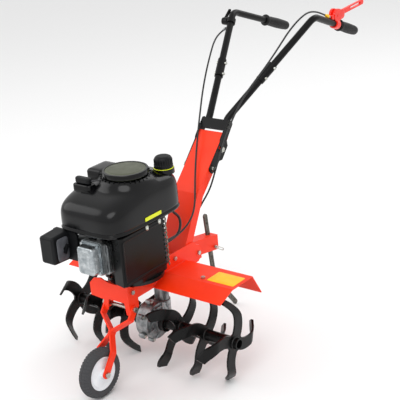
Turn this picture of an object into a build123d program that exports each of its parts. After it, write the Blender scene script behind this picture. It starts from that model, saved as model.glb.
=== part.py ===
"""Petrol front-tine tiller: every piece a separate solid, drawn about the tine axle's line.

Axes: +X is the machine's left, -Y is forward, +Z is up, in millimetres. Lengths along Y are drawn from
the tine axle, and save() sets each piece down so that the origin is the middle of the footprint.
"""
from build123d import *
from math import atan2, cos, degrees, hypot, pi, radians, sin, tan
import os

os.makedirs("parts", exist_ok=True)

# ---- overall layout
axle_y = -362.3            # tine axle, from the middle of the footprint
axle_z = 132.0             # tine axle above the ground
run_fit = 0.05             # radial clearance of a shaft in its hole
run_gap = 0.6              # gap between faces that pass each other
bolt_r = 4.0               # M8 fasteners of the frame
pin_r = 5.0                # M10 pivots
hole_play = 0.3            # radial clearance of a bolt in a sheet

# ---- frame
sheet = 3.0
frame_half = 46.0          # outside of the side rails
deck_top = 302.0
rail_depth = 40.0
deck_front = -147.0
deck_rear = 160.0
hanger_z = 258.0           # underside of the plate that carries the gearbox
hanger_front, hanger_rear = 2.0, 94.0
plate_wing = 98.0          # reach of the cross plate to the right
ear_bottom, ear_top = 222.0, 319.0
ear_depth = 38.0
fork_pivot = (-135.0, 238.0)
ear_bolt = (-132.0, 290.0)
column_foot, column_bend, column_top = (109.0, 302.0), (203.0, 474.0), (354.0, 623.0)
column_depth = 31.0
column_half = 45.7
cheek_front_bolt, cheek_rear_bolt, rail_bolt = (66.0, 316.0), (180.0, 290.0), (104.0, 274.0)
fender_outer = 292.0
fender_sheet = 3.0
fender_profile = [(-42.0, 268.0), (20.0, 290.0), (119.0, 290.0), (160.0, 222.0)]
fender_bolt = (173.0, 40.0)

# ---- engine
crank_y = -53.0
base_r, base_h = 82.0, 10.0
case_half, case_front, case_rear, case_top = 70.0, -125.0, 20.0, 498.0
case_wall = 8.0
cylinder_z = 420.0
fin_half, fin_sheet, fin_pitch = 46.0, 3.0, 8.0
cylinder_front = -220.0
crank_r = 11.0
shroud_left, shroud_right, shroud_front, shroud_rear = 95.0, -140.0, -225.0, 95.0
shroud_low, shroud_top, shroud_corner, shroud_wall = 488.0, 600.0, 50.0, 3.0
starter_r, starter_top = 62.0, 631.0
cap_place = (45.0, 60.0)
cap_r, cap_low, cap_top = 28.0, 606.5, 641.0
neck_r = 20.0

# ---- gearbox and drive
case_r, case_side = 56.0, 39.5
worm_module, worm_teeth, worm_pitch_r = 3.0, 24, 12.0
wheel_pitch_r = worm_module * worm_teeth / 2
worm_y = wheel_pitch_r + worm_pitch_r
worm_lead = pi * worm_module
worm_length = 42.0
worm_shaft_r = 8.0
neck_case_r, flange_r, flange_h = 22.0, 42.0, 8.0
tine_shaft_r, tine_shaft_half = 12.5, 150.0
bearing_r, bearing_w = 21.0, 12.0
worm_bearing_r = 16.0
belt_z, belt_w, belt_depth = 279.0, 6.4, 6.0
drive_r, driven_r, pulley_w = 27.0, 38.0, 14.0
idler_place, idler_pivot, idler_r = (8.0, -8.0), (26.0, -28.0), 11.0

# ---- tines
hub_r = 17.0
hub_inner, hub_outer = 42.0, 318.0
extension_r = 13.05        # bore of a hub's open end, for a 26 mm spigot
extension_gap = 1.0        # from the end of the shaft to that bore
star_x = (106.0, 200.0, 301.0)
star_phase_left = (-36.0, -18.0, 0.0)
star_phase_right = (0.0, -18.0, -36.0)
tine_reach = 132.0
tine_sheet = 6.0
tine_tip_angle = 16.0
hub_pin_x = 78.0
hub_pin_r = 4.0

# ---- front wheel
wheel_place = (-250.5, 75.0)
tyre_r, tyre_half, bead_r = 75.0, 18.0, 50.0
wheel_hub_r, wheel_hub_half = 15.0, 23.0
fork_sheet, fork_bar = 5.0, 24.0

# ---- handlebars
tilt_pivot, tilt_lock = (281.0, 530.0), (332.0, 576.0)
tilt_swing = 8.0           # each way, from the slots in the bracket
cheek_run = (124.0, 138.0) # direction of the bracket's cheeks, from the tilt pivot
cheek_end = 163.0
tube_r, tube_wall, sleeve_r = 11.0, 2.0, 14.0
tube_foot, tube_splay = (34.8, 368.5, 627.5), (35.0, 395.0, 657.0)
tube_corner, tube_end = (158.0, 722.0, 913.0), (138.0, 1009.0, 808.0)
sleeve_start, sleeve_end = 0.36, 0.52
grip_r, grip_length = 16.0, 134.0
lever_pivot = (868.0, 889.0)
lever_x = 148.0
lever_tip = (1046.0, 901.0)
throttle_share = 0.90      # of the run from the splay to the corner
cable_r = 2.75

# ---- drag stake
stake_half_x, stake_half_y = 3.0, 8.0
stake_top, stake_knee = (287.0, 361.0), (306.0, 176.0)
stake_shin, stake_toe = (356.0, 79.0), (412.0, 8.0)
socket_rear = 318.0
socket_half = 20.0
stake_pin_z = 258.0

set_down = Location((0, axle_y, 0))


def save(piece, label):
    """Set a finished piece down in the machine's frame, label it and write it."""
    placed = piece.moved(set_down)
    placed.label = label
    export_step(placed, f"parts/{label}.step")


def across(x, place):
    """A plane that faces +X at a point given by its y and z."""
    return Plane(origin=(x, place[0], place[1]), x_dir=(0, 1, 0), z_dir=(1, 0, 0))


def level(place, z):
    """A plane that faces up at a point given by its x and y."""
    return Plane(origin=(place[0], place[1], z), x_dir=(1, 0, 0), z_dir=(0, 0, 1))


def side_outline(x, points):
    """A closed outline in the side view, at a distance x from the middle."""
    with BuildSketch(across(x, (0, 0))) as outline:
        with BuildLine():
            Polyline(*points, close=True)
        make_face()
    return outline.sketch


def folded_strip(plane, points, thickness, side=Side.LEFT):
    """The edge view of a sheet folded along a line of points."""
    with BuildSketch(plane) as strip:
        with BuildLine():
            Polyline(*points)
            offset(amount=thickness, side=side, kind=Kind.INTERSECTION)
        make_face()
    return strip.sketch


def disc(plane, radius, height):
    """A round bar standing on a plane."""
    with BuildPart() as bar:
        with BuildSketch(plane):
            Circle(radius)
        extrude(amount=height)
    return bar.part


def ring(plane, outer, inner, height):
    """A tube standing on a plane."""
    with BuildPart() as tube:
        with BuildSketch(plane):
            Circle(outer)
            Circle(inner, mode=Mode.SUBTRACT)
        extrude(amount=height)
    return tube.part


def hex_bolt(plane, radius, grip, tail=2.0):
    """A hex bolt: its head stands on the plane and its nut sits below the stack that it grips."""
    with BuildPart() as bolt:
        with BuildSketch(plane):
            RegularPolygon(1.75 * radius, 6)
        extrude(amount=1.3 * radius)
        with BuildSketch(plane):
            Circle(radius)
        extrude(amount=-(grip + 1.6 * radius + tail))
        with BuildSketch(plane.offset(-grip)):
            RegularPolygon(1.75 * radius, 6)
        extrude(amount=-1.6 * radius)
    return bolt.part


def mirrored(piece):
    """The same piece on the machine's other side."""
    return mirror(piece, about=Plane.YZ)


def corner_radii(points):
    """The largest arcs that the runs of a cable's route allow, and a line that reports the smallest."""
    radii = []
    for before, corner, after in zip(points, points[1:], points[2:]):
        first, second = Vector(*corner) - Vector(*before), Vector(*after) - Vector(*corner)
        half_turn = radians(first.get_angle(second)) / 2
        radii.append(0.45 * min(first.length, second.length) / tan(half_turn))
    print("smallest cable radius", round(min(radii), 1))
    return radii


def cable(points, radius):
    """A round cable along straight runs joined by arcs."""
    with BuildPart() as cord:
        with BuildLine() as route:
            FilletPolyline(*points, radius=corner_radii(points))
        with BuildSketch(Plane(origin=route.line @ 0, z_dir=route.line % 0)):
            Circle(radius)
        sweep()
    length = sum(edge.length for edge in route.edges())
    print("cable length", round(length, 1),
          "volume over section times length", round(cord.part.volume / (pi * radius ** 2 * length), 4))
    return cord.part


def along(start, end, share):
    """A point part of the way between two others."""
    return tuple(a + (b - a) * share for a, b in zip(start, end))


# ======== frame ========
def make_deck():
    """Deck with folded side rails, and the welded plate that the gearbox hangs from."""
    length = deck_rear - deck_front
    rail_low = deck_top - rail_depth
    middle_y = (deck_front + deck_rear) / 2
    with BuildPart() as deck:
        with BuildSketch(level((0, middle_y), deck_top)):
            Rectangle(2 * frame_half, length)
        extrude(amount=-rail_depth)
        with BuildSketch(level((0, middle_y), deck_top - sheet)):
            Rectangle(2 * (frame_half - sheet), length)
        extrude(amount=-rail_depth, mode=Mode.SUBTRACT)
        with BuildSketch(level((0, (hanger_front + hanger_rear) / 2), hanger_z)):
            Rectangle(2 * frame_half, hanger_rear - hanger_front)
        extrude(amount=rail_low - hanger_z)
        with BuildSketch(level((0, crank_y), deck_top)):
            Circle(drive_r + 8)
        extrude(amount=-sheet, mode=Mode.SUBTRACT)
        with BuildSketch(level((0, worm_y), hanger_z)):
            Circle(worm_shaft_r + 4)
            with Locations(*[(x, y) for x, y in hanger_bolts()]):
                Circle(bolt_r + hole_play)
        extrude(amount=rail_depth + 10, mode=Mode.SUBTRACT)
        with BuildSketch(level((0, 0), deck_top)):
            with Locations(*engine_bolts()):
                Circle(bolt_r + hole_play)
            with Locations((22, 126)):
                Circle(cable_r + 3.5)
            with Locations(idler_pivot):
                Circle(3 + hole_play)
        extrude(amount=-sheet, mode=Mode.SUBTRACT)
        for place in (ear_bolt, rail_bolt):
            with BuildSketch(across(-2 * frame_half, place)):
                Circle(bolt_r + hole_play)
            extrude(amount=4 * frame_half, mode=Mode.SUBTRACT)
    return deck.part


def hanger_bolts():
    """The four gearbox bolts, from the worm shaft's axis."""
    return [(x, y) for x in (-23.0, 23.0) for y in (-23.0, 23.0)]


def engine_bolts():
    """The four engine bolts, in plan."""
    return [(x, crank_y + y) for x in (-34.0, 34.0) for y in (-64.0, 64.0)]


def make_front_plate():
    """Cross plate with a hollow top edge, a wing to the right and two folded ears for the fork."""
    front = Plane(origin=(0, deck_front, 0), x_dir=(1, 0, 0), z_dir=(0, -1, 0))
    edge = frame_half + sheet
    shoulder = deck_top - run_gap
    ear_outline = [(deck_front - sheet, ear_bottom), (deck_front - sheet, ear_top - 2),
                   (deck_front + 22, shoulder), (deck_front + ear_depth, shoulder),
                   (deck_front + ear_depth, ear_bottom + 16), (deck_front + 22, ear_bottom)]
    with BuildPart() as plate:
        with BuildSketch(front):
            with BuildLine():
                Polyline((edge, ear_bottom), (edge, ear_top), (34, ear_top - 1))
                ThreePointArc((34, ear_top - 1), (-8, ear_top - 9), (-52, 321))
                Polyline((-52, 321), (-80, 315), (-plate_wing, 296), (-plate_wing, 257),
                         (-edge, 253), (-edge, ear_bottom), (-36, ear_bottom), (-30, 258),
                         (30, 258), (36, ear_bottom), (edge, ear_bottom))
            make_face()
        extrude(amount=sheet)
        extrude(side_outline(frame_half, ear_outline), amount=sheet)
        extrude(side_outline(-frame_half - sheet, ear_outline), amount=sheet)
        with BuildSketch(across(-2 * frame_half, fork_pivot)):
            Circle(pin_r + run_fit)
        extrude(amount=4 * frame_half, mode=Mode.SUBTRACT)
        with BuildSketch(across(-2 * frame_half, ear_bolt)):
            Circle(bolt_r + hole_play)
        extrude(amount=4 * frame_half, mode=Mode.SUBTRACT)
    return plate.part


def make_column():
    """Steering column: a channel folded from sheet, open at the back, that leans more above its bend."""
    face = [column_foot, column_bend, column_top]
    lean = atan2(column_top[1] - column_bend[1], column_top[0] - column_bend[0])
    back_top = (column_top[0] + column_depth * sin(lean), column_top[1] - column_depth * cos(lean))
    foot_lean = atan2(column_bend[1] - column_foot[1], column_bend[0] - column_foot[0])
    back_foot = (column_foot[0] + column_depth / sin(foot_lean), column_foot[1])
    back_bend = (column_bend[0] + column_depth * sin((lean + foot_lean) / 2),
                 column_bend[1] - column_depth * cos((lean + foot_lean) / 2))
    flange = face + [back_top, back_bend, back_foot]
    with BuildPart() as column:
        extrude(folded_strip(across(0, (0, 0)), face, sheet, Side.RIGHT), amount=column_half, both=True)
        extrude(side_outline(column_half - sheet, flange), amount=sheet)
        extrude(side_outline(-column_half, flange), amount=sheet)
        with BuildSketch(across(-2 * column_half, tilt_pivot)):
            Circle(pin_r + run_fit)
        extrude(amount=4 * column_half, mode=Mode.SUBTRACT)
        with BuildSketch(across(-2 * column_half, cheek_front_bolt)):
            Circle(bolt_r + hole_play)
        extrude(amount=4 * column_half, mode=Mode.SUBTRACT)
        with BuildSketch(across(-2 * column_half, tilt_lock)):
            Circle(pin_r + run_fit)
        extrude(amount=4 * column_half, mode=Mode.SUBTRACT)
        with BuildSketch(level((0, column_foot[0]), deck_top)):
            Rectangle(4 * column_half, 200)
        extrude(amount=-rail_depth, mode=Mode.SUBTRACT)
    return column.part


def make_side_plates():
    """The two tall cheeks that tie rails, column and stake socket together."""
    outline = [(12.0, deck_top - rail_depth), (18.0, deck_top), (45.0, 334.0), (158.0, 334.0),
               (176.0, 316.0), (196.0, 302.0), (196.0, 278.0), (178.0, deck_top - rail_depth)]
    with BuildPart() as cheek:
        extrude(side_outline(frame_half, outline), amount=sheet)
        fillet(cheek.edges().filter_by(Axis.X), radius=4)
        for place in (cheek_rear_bolt, rail_bolt, cheek_front_bolt):
            with BuildSketch(across(0, place)):
                Circle(bolt_r + hole_play)
            extrude(amount=2 * frame_half, mode=Mode.SUBTRACT)
    return cheek.part


def make_fender():
    """Left fender: sheet folded down at the front and the back, open at its outer end."""
    inner = frame_half + sheet
    with BuildPart() as fender:
        extrude(folded_strip(across(inner, (0, 0)), fender_profile, fender_sheet, Side.RIGHT),
                amount=fender_outer - inner)
        folds = fender.edges().filter_by(Axis.X).sort_by(Axis.Z)[-4:]
        fillet(folds, radius=2.5)
        top_z = fender_profile[1][1]
        with BuildSketch(level(fender_bolt, top_z)):
            Circle(bolt_r + hole_play)
        extrude(amount=10, both=True, mode=Mode.SUBTRACT)
    return fender.part


def make_stake_socket():
    """Folded socket behind the frame that the drag stake slides in."""
    block = [(deck_rear + 4, 266.0), (deck_rear + 4, 318.0), (socket_rear, 292.0), (socket_rear, 242.0),
             (200.0, 262.0)]
    root = [(deck_rear + 4, 264.0), (deck_rear + 4, 319.0), (192.0, 311.0), (198.0, 266.0)]
    with BuildPart() as socket:
        extrude(side_outline(0, block), amount=socket_half, both=True)
        extrude(side_outline(0, root), amount=frame_half - 0.2, both=True)
        hollow = [(150.0, 270.0), (150.0, 313.0), (socket_rear - sheet, 288.0),
                  (socket_rear - sheet, 247.0), (200.0, 267.0)]
        extrude(side_outline(0, hollow), amount=socket_half - sheet, both=True, mode=Mode.SUBTRACT)
        with BuildSketch(across(-2 * frame_half, cheek_rear_bolt)):
            Circle(bolt_r + hole_play)
        extrude(amount=4 * frame_half, mode=Mode.SUBTRACT)
        slot = stake_outline(run_gap)
        extrude(slot, amount=stake_half_x + run_gap, both=True, mode=Mode.SUBTRACT)
        with BuildSketch(across(-2 * socket_half, stake_pin_place())):
            Circle(3 + run_fit)
        extrude(amount=4 * socket_half, mode=Mode.SUBTRACT)
    return socket.part


def stake_line():
    """The direction of the stake's straight upper part, in the side view."""
    rise = (stake_top[0] - stake_knee[0], stake_top[1] - stake_knee[1])
    length = hypot(*rise)
    return rise[0] / length, rise[1] / length


def stake_pin_place():
    """Where the clevis pin crosses the stake."""
    slope = (stake_top[0] - stake_knee[0]) / (stake_top[1] - stake_knee[1])
    return stake_knee[0] + slope * (stake_pin_z - stake_knee[1]), stake_pin_z


def stake_outline(play):
    """The side view of the stake's straight upper part, with play round it, run on past both ends."""
    run_y, run_z = stake_line()
    half = stake_half_y + play
    low, high = (stake_knee[0] - 60 * run_y, stake_knee[1] - 60 * run_z), stake_top
    high = (high[0] + 60 * run_y, high[1] + 60 * run_z)
    return side_outline(0, [(low[0] - half * run_z, low[1] + half * run_y),
                            (high[0] - half * run_z, high[1] + half * run_y),
                            (high[0] + half * run_z, high[1] - half * run_y),
                            (low[0] + half * run_z, low[1] - half * run_y)])


def make_frame_bolts():
    """Every zinc-plated fastener of the frame and the gearbox."""
    wall = frame_half + sheet
    with BuildPart() as bolts:
        for place in (ear_bolt, rail_bolt):
            bolt = hex_bolt(across(wall, place), bolt_r, 2 * sheet)
            add(bolt)
            add(mirrored(bolt))
        add(hex_bolt(across(wall, cheek_front_bolt), bolt_r, 2 * wall))
        add(hex_bolt(across(wall, cheek_rear_bolt), bolt_r, 2 * wall))
        for x, y in engine_bolts():
            add(hex_bolt(level((x, y), deck_top + base_h), bolt_r, base_h + sheet))
        for x, y in hanger_bolts():
            place = level((x, worm_y + y), deck_top - rail_depth)
            add(hex_bolt(place, bolt_r, flange_h + deck_top - rail_depth - hanger_z, 1.0))
        for side in (1, -1):
            place = level((side * fender_bolt[0], fender_bolt[1]), fender_profile[1][1])
            add(hex_bolt(place, bolt_r, fender_sheet))
        for y, z in case_lugs():
            add(hex_bolt(across(8, (y, z)), 3.0, 16, 1.0))
        lock_face = column_half + 2 * run_gap + sheet
        add(hex_bolt(across(lock_face, tilt_lock), pin_r, 2 * lock_face))
    return bolts.part


# ======== gearbox ========
def case_lugs():
    """The bolt lugs round the gearbox case, clear of its neck."""
    lug_r = case_r + 7
    return [(lug_r * cos(radians(a)), axle_z + lug_r * sin(radians(a))) for a in (-150, -105, -62, 100, 150)]


def make_gearbox_half():
    """Left half of the cast case: stepped drum, worm tower and neck, split on the middle plane."""
    axle = (0, axle_z)
    worm = (0, worm_y)
    with BuildPart() as half:
        for radius, depth in ((case_r, 22.0), (case_r - 9, 26.0), (case_r - 19, 30.0), (28.0, case_side)):
            with BuildSketch(across(0, axle)):
                Circle(radius)
            extrude(amount=depth)
        with BuildSketch(level(worm, 86)):
            Circle(25)
        extrude(amount=94)
        with BuildSketch(level(worm, 170)):
            Circle(neck_case_r)
        extrude(amount=hanger_z - 170)
        with BuildSketch(level(worm, hanger_z)):
            RectangleRounded(2 * (flange_r - 8), 2 * (flange_r - 8), 8)
        extrude(amount=-flange_h)
        for place in case_lugs():
            with BuildSketch(across(0, place)):
                Circle(8)
            extrude(amount=8)
        for place in case_lugs():
            with BuildSketch(across(0, place)):
                Circle(3 + hole_play)
            extrude(amount=8, mode=Mode.SUBTRACT)
        with BuildSketch(across(0, axle)):
            Circle(wheel_pitch_r + 5)
        extrude(amount=14.5, mode=Mode.SUBTRACT)
        with BuildSketch(across(0, axle)):
            Circle(bearing_r)
        extrude(amount=17 + bearing_w, mode=Mode.SUBTRACT)
        with BuildSketch(across(0, axle)):
            Circle(tine_shaft_r + 5)
        extrude(amount=case_side, mode=Mode.SUBTRACT)
        with BuildSketch(level(worm, axle_z - 27)):
            Circle(worm_pitch_r + 6)
        extrude(amount=54, mode=Mode.SUBTRACT)
        with BuildSketch(level(worm, 91)):
            Circle(worm_bearing_r)
        extrude(amount=15, mode=Mode.SUBTRACT)
        with BuildSketch(level(worm, 100)):
            Circle(worm_shaft_r + 2)
        extrude(amount=hanger_z - 90, mode=Mode.SUBTRACT)
        with BuildSketch(level(worm, hanger_z - 22)):
            Circle(worm_bearing_r)
        extrude(amount=22, mode=Mode.SUBTRACT)
        for x, y in hanger_bolts():
            with BuildSketch(level((x, worm_y + y), hanger_z)):
                Circle(bolt_r + hole_play)
            extrude(amount=-2 * flange_h, mode=Mode.SUBTRACT)
        split(bisect_by=Plane.YZ, keep=Keep.TOP)
    return half.part


def make_gearbox_bearings():
    """Ball bearings and lip seals as plain rings in their seats."""
    with BuildPart() as rings:
        for side in (1, -1):
            plane = across(side * (17 if side > 0 else 17 + bearing_w), (0, axle_z))
            add(ring(plane, bearing_r, tine_shaft_r + run_fit, bearing_w))
            plane = across(side * (31 if side > 0 else case_side), (0, axle_z))
            add(ring(plane, tine_shaft_r + 5, tine_shaft_r + run_fit, case_side - 31))
        add(ring(level((0, worm_y), 92), worm_bearing_r, worm_shaft_r + run_fit, 10))
        add(ring(level((0, worm_y), hanger_z - 21), worm_bearing_r, worm_shaft_r + run_fit, 20))
    return rings.part


def make_worm():
    """Worm shaft with a right-hand thread of one start."""
    root_r, tip_r = worm_pitch_r - 1.25 * worm_module, worm_pitch_r + worm_module
    start_z = axle_z - worm_length / 2 + ((worm_length / 2) % worm_lead) - 0.25 * worm_lead
    with BuildPart() as worm:
        with BuildSketch(level((0, worm_y), 92)):
            Circle(worm_shaft_r)
        extrude(amount=belt_z + pulley_w / 2 + 6 - 92)
        with BuildSketch(level((0, worm_y), axle_z - worm_length / 2)):
            Circle(root_r)
        extrude(amount=worm_length)
        with BuildLine(level((0, worm_y), start_z)) as thread:
            Helix(pitch=worm_lead, height=worm_length - worm_lead, radius=worm_pitch_r)
        start = thread.line @ 0
        with BuildSketch(Plane(origin=start, x_dir=(1, 0, 0), z_dir=thread.line % 0)):
            with BuildLine():
                inner, outer = root_r - worm_pitch_r - 0.6, tip_r - worm_pitch_r
                Polyline((inner, -3.5), (outer, -1.1), (outer, 1.1), (inner, 3.5), close=True)
            make_face()
        sweep(path=thread.line, is_frenet=True)
    return worm.part


def make_worm_wheel():
    """Bronze worm wheel: its teeth lean with the worm's thread."""
    lead_angle = degrees(atan2(worm_lead, 2 * pi * worm_pitch_r))
    root_r, tip_r = wheel_pitch_r - 1.25 * worm_module, wheel_pitch_r + worm_module - 0.4
    with BuildPart() as wheel:
        with BuildSketch(across(-9, (0, axle_z))):
            Circle(root_r)
        extrude(amount=18)
        with BuildSketch(across(-13, (0, axle_z))):
            Circle(20)
        extrude(amount=26)
        with Locations(Plane(origin=(0, 0, axle_z), x_dir=(0, 1, 0), z_dir=(1, 0, 0))):
            with PolarLocations(0, worm_teeth):
                with Locations(Location(((root_r + tip_r) / 2 - 1, 0, 0), (-lead_angle, 0, 0))):
                    Box(tip_r - root_r + 2, 2.4, 17.4)
        with BuildSketch(across(-20, (0, axle_z))):
            Circle(tine_shaft_r)
        extrude(amount=40, mode=Mode.SUBTRACT)
    return wheel.part


def make_tine_shaft():
    """Through shaft of the gearbox with a cross hole at each end."""
    with BuildPart() as shaft:
        with BuildSketch(across(-tine_shaft_half, (0, axle_z))):
            Circle(tine_shaft_r)
        extrude(amount=2 * tine_shaft_half)
        chamfer(shaft.edges().filter_by(GeomType.CIRCLE), length=1.5)
        for x in (-hub_pin_x, hub_pin_x):
            with BuildSketch(level((x, 0), axle_z - 30)):
                Circle(hub_pin_r + run_fit)
            extrude(amount=60, mode=Mode.SUBTRACT)
    return shaft.part


# ======== belt drive ========
def make_pulley(place, radius, bore):
    """A single-groove V pulley on a vertical shaft."""
    half = pulley_w / 2
    with BuildPart() as pulley:
        with BuildSketch(Plane(origin=(place[0], place[1], belt_z), x_dir=(1, 0, 0), z_dir=(0, -1, 0))):
            with BuildLine():
                Polyline((bore, -half), (radius, -half), (radius, -5.4), (radius - 8, -3.9),
                         (radius - 8, 3.9), (radius, 5.4), (radius, half), (bore, half), close=True)
            make_face()
        revolve(axis=Axis((place[0], place[1], 0), (0, 0, 1)))
    return pulley.part


def belt_loop(depth):
    """The belt's line in plan, a given depth below the rims of both pulleys."""
    with BuildSketch(level((0, 0), belt_z - belt_w / 2)) as loop:
        with BuildLine():
            small, large = drive_r - depth, driven_r - depth
            gap = worm_y - crank_y
            turn = (large - small) / gap
            rise = (1 - turn ** 2) ** 0.5
            low_left, low_right = (-small * rise, crank_y - small * turn), (small * rise, crank_y - small * turn)
            high_left, high_right = (-large * rise, worm_y - large * turn), (large * rise, worm_y - large * turn)
            Line(low_left, high_left)
            ThreePointArc(high_left, (0, worm_y + large), high_right)
            Line(high_right, low_right)
            ThreePointArc(low_right, (0, crank_y - small), low_left)
        make_face()
    return loop.sketch


def make_belt():
    """Endless belt round both pulleys."""
    with BuildPart() as belt:
        extrude(belt_loop(0.5), amount=belt_w)
        extrude(belt_loop(0.5 + belt_depth), amount=belt_w, mode=Mode.SUBTRACT)
    return belt.part


def make_idler_arm():
    """Idler arm: pivot post in the deck, flat arm over the belt, and the idler's axle."""
    arm_z = belt_z + pulley_w / 2 + 2
    dx, dy = idler_place[0] - idler_pivot[0], idler_place[1] - idler_pivot[1]
    middle = (idler_pivot[0] + dx / 2, idler_pivot[1] + dy / 2)
    with BuildPart() as arm:
        with BuildSketch(level(middle, arm_z)):
            SlotCenterToCenter(hypot(dx, dy), 12, rotation=degrees(atan2(dy, dx)))
        extrude(amount=4)
        with BuildSketch(level(idler_pivot, arm_z)):
            Circle(3 + hole_play - 0.05)
        extrude(amount=deck_top - 0.3 - arm_z)
        with BuildSketch(level(idler_place, belt_z - 7)):
            Circle(3)
        extrude(amount=arm_z - belt_z + 8)
    return arm.part


# ======== engine ========
def make_crankshaft():
    """Vertical crankshaft with its two webs and crank pin."""
    with BuildPart() as shaft:
        with BuildSketch(level((0, crank_y), belt_z - pulley_w / 2 - 3)):
            Circle(crank_r)
        extrude(amount=cylinder_z - 20 - belt_z + pulley_w / 2 + 3)
        with BuildSketch(level((0, crank_y), cylinder_z + 20)):
            Circle(crank_r)
        extrude(amount=150)
        for z in (cylinder_z - 20, cylinder_z + 12):
            with BuildSketch(level((0, crank_y), z)):
                Circle(34)
            extrude(amount=8)
        with BuildSketch(level((0, crank_y - 20), cylinder_z - 20)):
            Circle(9)
        extrude(amount=40)
    return shaft.part


def make_flywheel():
    """Flywheel with its fan blades and the starter cup on top."""
    with BuildPart() as wheel:
        with BuildSketch(level((0, crank_y), 516)):
            Circle(76)
            Circle(crank_r, mode=Mode.SUBTRACT)
        extrude(amount=16)
        with Locations(Plane(origin=(0, crank_y, 0))):
            with PolarLocations(62, 14):
                with Locations(Location((0, 0, 546), (0, 0, 24))):
                    Box(24, 2.5, 32)
        with BuildSketch(level((0, crank_y), 530)):
            Circle(30)
            Circle(crank_r, mode=Mode.SUBTRACT)
        extrude(amount=34)
    return wheel.part


def make_crankcase():
    """Cast crankcase on a round base flange, ribbed at its corners."""
    mid_y = (case_front + case_rear) / 2
    depth = case_rear - case_front
    with BuildPart() as case:
        with BuildSketch(level((0, crank_y), deck_top)):
            Circle(base_r)
        extrude(amount=base_h)
        with BuildSketch(level((0, mid_y), deck_top + base_h)):
            RectangleRounded(2 * case_half, depth, 24)
        extrude(amount=case_top - deck_top - base_h)
        for z in range(330, 490, 14):
            with BuildSketch(level((0, mid_y), z)):
                RectangleRounded(2 * case_half + 8, depth + 6, 24)
            extrude(amount=4)
        with BuildSketch(level((0, mid_y), deck_top + base_h + case_wall)):
            RectangleRounded(2 * (case_half - case_wall), depth - 2 * case_wall, 18)
        extrude(amount=case_top - deck_top - base_h - 2 * case_wall, mode=Mode.SUBTRACT)
        with BuildSketch(level((0, crank_y), deck_top)):
            Circle(crank_r + run_fit)
        extrude(amount=case_top - deck_top, mode=Mode.SUBTRACT)
        with BuildSketch(Plane.XZ.offset(-case_front + 20)):
            with Locations((0, cylinder_z)):
                Circle(31)
        extrude(amount=60, mode=Mode.SUBTRACT)
        with BuildSketch(level((0, 0), deck_top)):
            with Locations(*engine_bolts()):
                Circle(bolt_r + hole_play)
        extrude(amount=base_h, mode=Mode.SUBTRACT)
        with BuildSketch(level((0, 0), deck_top + base_h)):
            with Locations(*engine_bolts()):
                Circle(bolt_r * 2.2)
        extrude(amount=14, mode=Mode.SUBTRACT)
    return case.part


def make_cylinder():
    """Finned cylinder and head in one casting, lying forward."""
    fins = int((case_front - 4 - cylinder_front - 8) / fin_pitch)
    with BuildPart() as barrel:
        with BuildSketch(Plane.XZ.offset(-case_front + 3.2)):
            with Locations((0, cylinder_z)):
                Circle(40)
        extrude(amount=case_front - cylinder_front - 3.2)
        for index in range(fins):
            with BuildSketch(Plane.XZ.offset(-case_front + 6 + index * fin_pitch)):
                with Locations((0, cylinder_z)):
                    RectangleRounded(2 * fin_half, 2 * fin_half, 10)
            extrude(amount=fin_sheet)
        with BuildSketch(Plane.XZ.offset(-cylinder_front)):
            with Locations((0, cylinder_z + 4)):
                RectangleRounded(76, 98, 10)
        extrude(amount=-12)
        with BuildSketch(Plane.XZ.offset(-case_front)):
            with Locations((0, cylinder_z)):
                Circle(28)
        extrude(amount=78, mode=Mode.SUBTRACT)
    return barrel.part


def make_valve_cover():
    """Domed valve cover with a bolted rim."""
    centre = (0, cylinder_z + 4)
    with BuildPart() as cover:
        with BuildSketch(Plane.XZ.offset(-cylinder_front)):
            with Locations(centre):
                RectangleRounded(74, 96, 10)
        extrude(amount=5)
        with BuildSketch(Plane.XZ.offset(-cylinder_front + 5)):
            with Locations(centre):
                RectangleRounded(64, 86, 12)
        extrude(amount=28, taper=6)
        fillet(cover.faces().sort_by(Axis.Y)[0].edges(), radius=6)
        with BuildSketch(Plane.XZ.offset(-cylinder_front)):
            with Locations(centre):
                RectangleRounded(50, 72, 8)
        extrude(amount=26, mode=Mode.SUBTRACT)
        for x in (-30, 30):
            for z in (-40, 40):
                with BuildSketch(Plane.XZ.offset(-cylinder_front + 5)):
                    with Locations((x, centre[1] + z)):
                        RegularPolygon(5.5, 6)
                extrude(amount=5)
    return cover.part


def make_muffler():
    """Muffler canister and its pipe from the head."""
    with BuildPart() as muffler:
        with BuildSketch(level((72, -161), 366)):
            RectangleRounded(34, 66, 10)
        extrude(amount=104)
        fillet(muffler.faces().sort_by(Axis.Z)[-1].edges(), radius=6)
        with BuildSketch(across(fin_half, (-161, cylinder_z))):
            Circle(11)
        extrude(amount=12)
    return muffler.part


def make_muffler_guard():
    """Folded black guard round the muffler, open towards the engine and below."""
    outer, front, rear, low, high = 95.0, -203.0, -28.0, 343.0, shroud_low - run_gap
    with BuildPart() as guard:
        with BuildSketch(level((0, 0), low)):
            with BuildLine():
                Polyline((50, front + 8), (88, front), (outer, front + 10), (outer, rear), (76, rear + 14))
                offset(amount=2, side=Side.LEFT, kind=Kind.INTERSECTION)
            make_face()
        extrude(amount=high - low)
        with BuildSketch(level((0, 0), high)):
            with BuildLine():
                Polyline((50, front + 8), (88, front), (outer, front + 10), (outer, rear), (76, rear + 14),
                         (76, case_front - 3), (50, case_front - 3), close=True)
            make_face()
        extrude(amount=-2)
    return guard.part


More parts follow.
